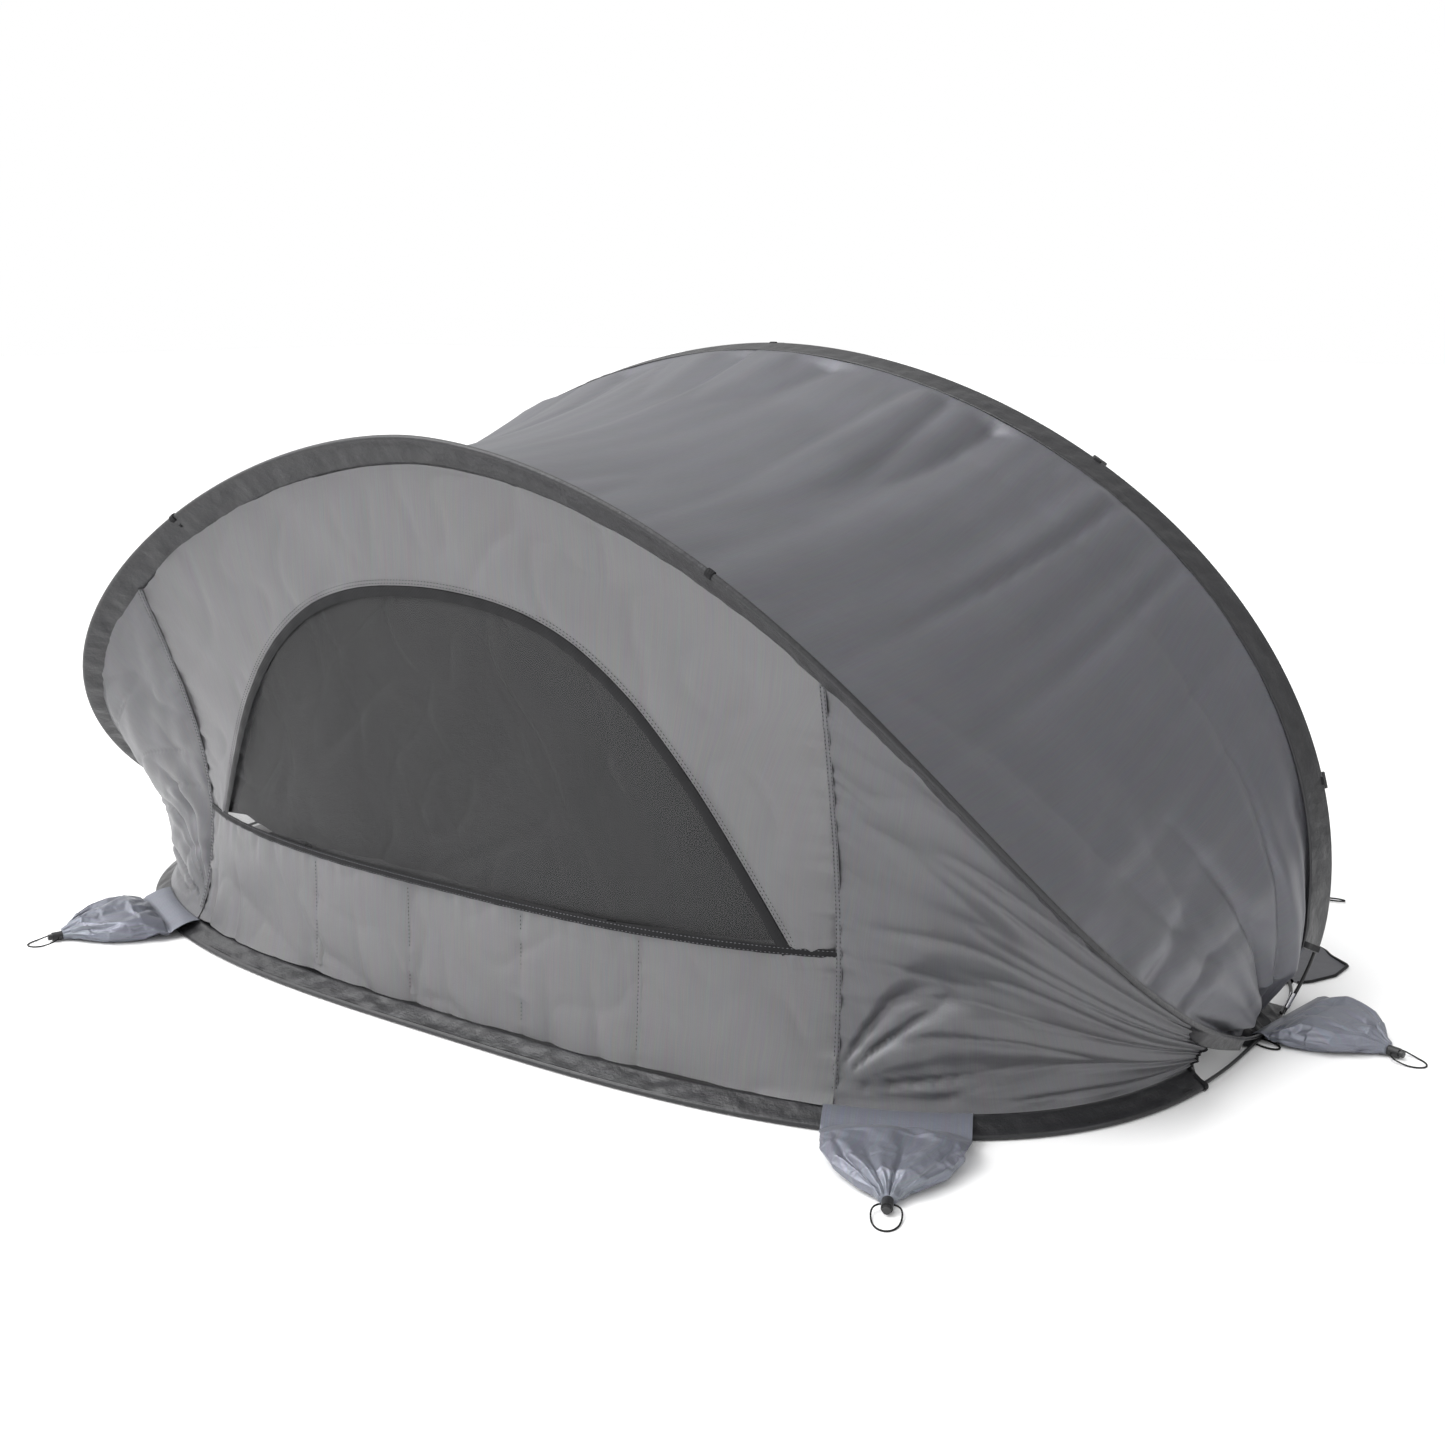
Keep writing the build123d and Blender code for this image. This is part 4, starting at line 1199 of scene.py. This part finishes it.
def bag_shell(name, length, seed):
    """Sandbag: it drapes over the ground sleeve, swells, and is pleated into its gathered mouth."""
    origin, out, across = bag_frame(name)
    turns = np.linspace(0, 2 * pi, BAG_COLUMNS, endpoint=False)
    upper = np.sin(turns) > -0.01
    rows = []
    for step in np.linspace(0, 1, BAG_DRAPE_ROWS, endpoint=False):
        shift = BAG_WIDTH / 2 * np.cos(turns)
        distance, height = bag_seam(name, shift)
        d = distance + (0.004 - distance) * step
        z = height + (0.0175 - height) * ramp(step, 0.0, 1.15) + 0.0030 * sin(pi * step)
        z = z - np.where(upper, 0, 0.0012)
        rows.append(origin + out * d[:, None] + across * shift[:, None] + np.stack([z * 0, z * 0, z], -1))
    for level in np.linspace(0.025, 1, BAG_BODY_ROWS):
        wide = np.interp(level, *zip(*BAG_WIDTHS))
        top = np.interp(level, *zip(*BAG_TOPS))
        under = np.interp(level, *zip(*BAG_UNDERS))
        pleat = ramp(level, 0.28, 0.92)
        ridges = np.abs(np.sin(4.5 * turns + 0.9 * np.sin(2 * turns + seed) + seed)) ** 0.7
        fine = np.abs(np.sin(10.5 * turns + 1.4 * np.sin(3 * turns + seed * 2)))
        lumps = noise_field(np.cos(turns) * 1.7 + level * 2.6, np.sin(turns) + seed * 3, seed)
        swell = 1 - pleat * (0.50 * (1 - ridges) + 0.16 * (1 - fine))
        swell = swell + 0.16 * lumps * sin(pi * min(1, level + 0.1))
        half = (top - under) / 2
        z = under + half + half * np.sin(turns) * np.where(upper, swell, 1)
        spread = 1 - 0.10 * pleat * (1 - ridges)
        a = BAG_WIDTH * wide / 2 * np.cos(turns) * spread
        place = origin + out * (level * (length + 0.005)) + across * a[:, None]
        rows.append(place + np.stack([z * 0, z * 0, np.maximum(BAG_CLEARANCE, z)], -1))
    points = np.array(rows)
    count = len(rows)
    faces = grid_faces(count, BAG_COLUMNS, True)
    faces.append(tuple(reversed(range(BAG_COLUMNS))))
    faces.append(tuple((count - 1) * BAG_COLUMNS + j for j in range(BAG_COLUMNS)))
    return new_object(f"sandbag_cloth_{name}", points.reshape(-1, 3), faces, grid_uvs(points))


def simulate_bag(piece):
    """Let the bag's cloth settle: pinned at its seam and its mouth, blown out a little from inside."""
    pins = piece.vertex_groups.new(name="pins")
    rows = BAG_DRAPE_ROWS + BAG_BODY_ROWS
    fixed = list(range(BAG_COLUMNS * (BAG_DRAPE_ROWS + 2)))
    fixed += list(range(BAG_COLUMNS * (rows - 6), BAG_COLUMNS * rows))
    pins.add(fixed, 1.0, "REPLACE")
    before = vertex_points(piece)
    cloth = piece.modifiers.new("settle", "CLOTH")
    settings = cloth.settings
    settings.quality = 6
    settings.mass = 0.15
    settings.tension_stiffness = 12
    settings.compression_stiffness = 12
    settings.shear_stiffness = 6
    settings.bending_stiffness = 0.15
    settings.vertex_group_mass = "pins"
    settings.shrink_min = -0.05
    settings.use_pressure = True
    settings.uniform_pressure_force = 1.2
    settings.effector_weights.gravity = 0
    cloth.collision_settings.use_collision = False
    scene = bpy.context.scene
    scene.frame_start = 1
    scene.frame_end = 24
    cloth.point_cache.frame_start = 1
    cloth.point_cache.frame_end = 24
    for step in range(1, BAG_FRAMES + 1):
        scene.frame_set(step)
    bpy.context.view_layer.objects.active = piece
    with bpy.context.temp_override(object=piece, active_object=piece, selected_objects=[piece]):
        bpy.ops.object.modifier_apply(modifier="settle")
    scene.frame_set(1)
    moved = vertex_points(piece) - before
    size = np.linalg.norm(moved, axis=1, keepdims=True)
    moved *= np.minimum(1, BAG_MOVE_CAP / np.maximum(size, 1e-9))
    final = before + moved
    final[:, 2] = np.maximum(BAG_CLEARANCE, final[:, 2])
    piece.data.vertices.foreach_set("co", final.astype(np.float32).ravel())
    piece.data.update()


def make_drawcord(name, length):
    """Loose loop of drawcord from the cord lock, on the CAD tube's own route."""
    origin, out, across = bag_frame(name)
    start = length + LOCK_GAP + LOCK_LENGTH / 2
    low = CORD_DIAMETER / 2 + 0.0003
    route = []
    for reach, shift, rise in CORD_ROUTE:
        place = origin + out * (start + reach) + across * shift
        route.append((place[0], place[1], low + (LOCK_AXIS_HEIGHT - low) * rise))
    data = bpy.data.curves.new(f"drawcord_line_{name}", "CURVE")
    data.dimensions = "3D"
    spline = data.splines.new("NURBS")
    spline.points.add(len(route) - 1)
    for point, place in zip(spline.points, route):
        point.co = (*place, 1)
    spline.order_u = 3
    spline.use_endpoint_u = True
    spline.resolution_u = 8
    data.bevel_depth = CORD_DIAMETER / 2
    data.bevel_resolution = 4
    data.use_fill_caps = True
    cord = bpy.data.objects.new(f"drawcord_line_{name}", data)
    bpy.context.scene.collection.objects.link(cord)
    data.materials.append(cord_cover)
    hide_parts(f"drawcord_{name}")
    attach(cord, f"cord_lock_{name}")


def make_cord_neck(name, length):
    """Two strands of the drawcord between the bag's mouth and the lock, as the lock slides out."""
    origin, out, across = bag_frame(name)
    strands = []
    for side in (-1, 1):
        reach = np.linspace(length - 0.010, length + LOCK_GAP + 0.002, 12)[:, None]
        middle = origin + out * reach + across * side * 0.0024
        strands.append(capped_tube("strand", middle + [0, 0, LOCK_AXIS_HEIGHT], CORD_DIAMETER / 2, 8))
    neck = joined(f"drawcord_neck_{name}", strands)
    dress(neck, cord_cover)
    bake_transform(neck)


def make_sandbag(name, seed):
    """One sandbag: its cloth shell and the cord at its mouth."""
    length = CORNER_BAG_LENGTH if name.startswith("front") else REAR_BAG_LENGTH
    piece = bag_shell(name, length, seed)
    simulate_bag(piece)
    dress(piece, bag_cloth)
    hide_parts(f"sandbag_{name}")
    make_cord_neck(name, length)
    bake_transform(piece)


# ---------------------------------------------------------------- hard parts

def dress_hard_parts():
    """Materials for the CAD nodes that stay in view."""
    looks = {
        "rear_ground_rod": rod_gloss,
        "front_ground_rod": rod_gloss,
        "rod_ferrules": ferrule_metal,
        "front_arch_toggles": lock_plastic,
    }
    for bag in BAGS:
        looks[f"cord_lock_{bag}"] = lock_plastic
        looks[f"cord_lock_button_{bag}"] = button_plastic
        looks[f"cord_lock_spring_{bag}"] = spring_steel
    for name, material in looks.items():
        nodes[name].data.materials.clear()
        nodes[name].data.materials.append(material)


# ---------------------------------------------------------------- studio

def studio_light():
    """White surroundings with a broad soft light from the upper left of the picture."""
    world = bpy.data.worlds.new("studio")
    world.use_nodes = True
    tree = world.node_tree
    towards = add_node(tree, "ShaderNodeTexCoord").outputs["Generated"]
    light = add_node(tree, "ShaderNodeVectorMath", {0: towards, 1: KEY_DIRECTION}, operation="DOT_PRODUCT")
    lit = add_node(tree, "ShaderNodeMath", {0: light.outputs["Value"], 1: 0.0}, operation="MAXIMUM")
    lobe = add_node(tree, "ShaderNodeMath", {0: lit.outputs["Value"], 1: 3.0}, operation="POWER")
    glow_inputs = {0: lobe.outputs["Value"], 1: 3.0, 2: 0.50}
    glow = add_node(tree, "ShaderNodeMath", glow_inputs, operation="MULTIPLY_ADD")
    seen = add_node(tree, "ShaderNodeLightPath").outputs["Is Camera Ray"]
    mix = add_node(tree, "ShaderNodeMix", {"Factor": seen, "A": glow.outputs["Value"], "B": 1.0})
    back = tree.nodes["Background"]
    back.inputs["Color"].default_value = (1, 1, 1, 1)
    tree.links.new(mix.outputs["Result"], back.inputs["Strength"])
    return world


def make_studio():
    """Pale floor, white surroundings and soft overhead light."""
    corners = [(-30, -30, 0), (30, -30, 0), (30, 30, 0), (-30, 30, 0)]
    ground = new_object("studio_floor", corners, [(0, 1, 2, 3)])
    material, _, shader = node_tree("studio_white")
    shader.inputs["Base Color"].default_value = (0.95, 0.95, 0.95, 1)
    shader.inputs["Roughness"].default_value = 0.9
    shader.inputs["Specular IOR Level"].default_value = 0.0
    ground.data.materials.append(material)
    bpy.context.scene.world = studio_light()
    for name, place, size, watts in (
        ("key", (1.9, 2.6, 3.6), 2.2, 70),
        ("top", (0.4, 0.2, 4.0), 2.0, 30),
        ("side", (-4.0, 1.0, 1.6), 1.6, 18),
    ):
        data = bpy.data.lights.new(name, "AREA")
        data.energy = watts
        data.size = size
        light = bpy.data.objects.new(name, data)
        light.location = place
        light.rotation_mode = "QUATERNION"
        light.rotation_quaternion = (Vector((0, 0.2, 0.3)) - Vector(place)).to_track_quat("-Z", "Y")
        bpy.context.scene.collection.objects.link(light)
    bpy.context.scene.view_settings.view_transform = "Standard"


make_camera()
for bag in BAGS:
    make_drawcord(bag, CORNER_BAG_LENGTH if bag.startswith("front") else REAR_BAG_LENGTH)
make_studio()
make_rear_panel()
make_lower_panel()
make_side_panels()
make_window()
make_tapes()
make_cover_and_ties()
make_sleeves()
make_sleeve_ends()
make_bands()
make_canopy()
make_floor()
make_front_panel()
make_panel_loops()
make_corners()
for number, bag in enumerate(BAGS):
    make_sandbag(bag, number + 1.0)
dress_hard_parts()
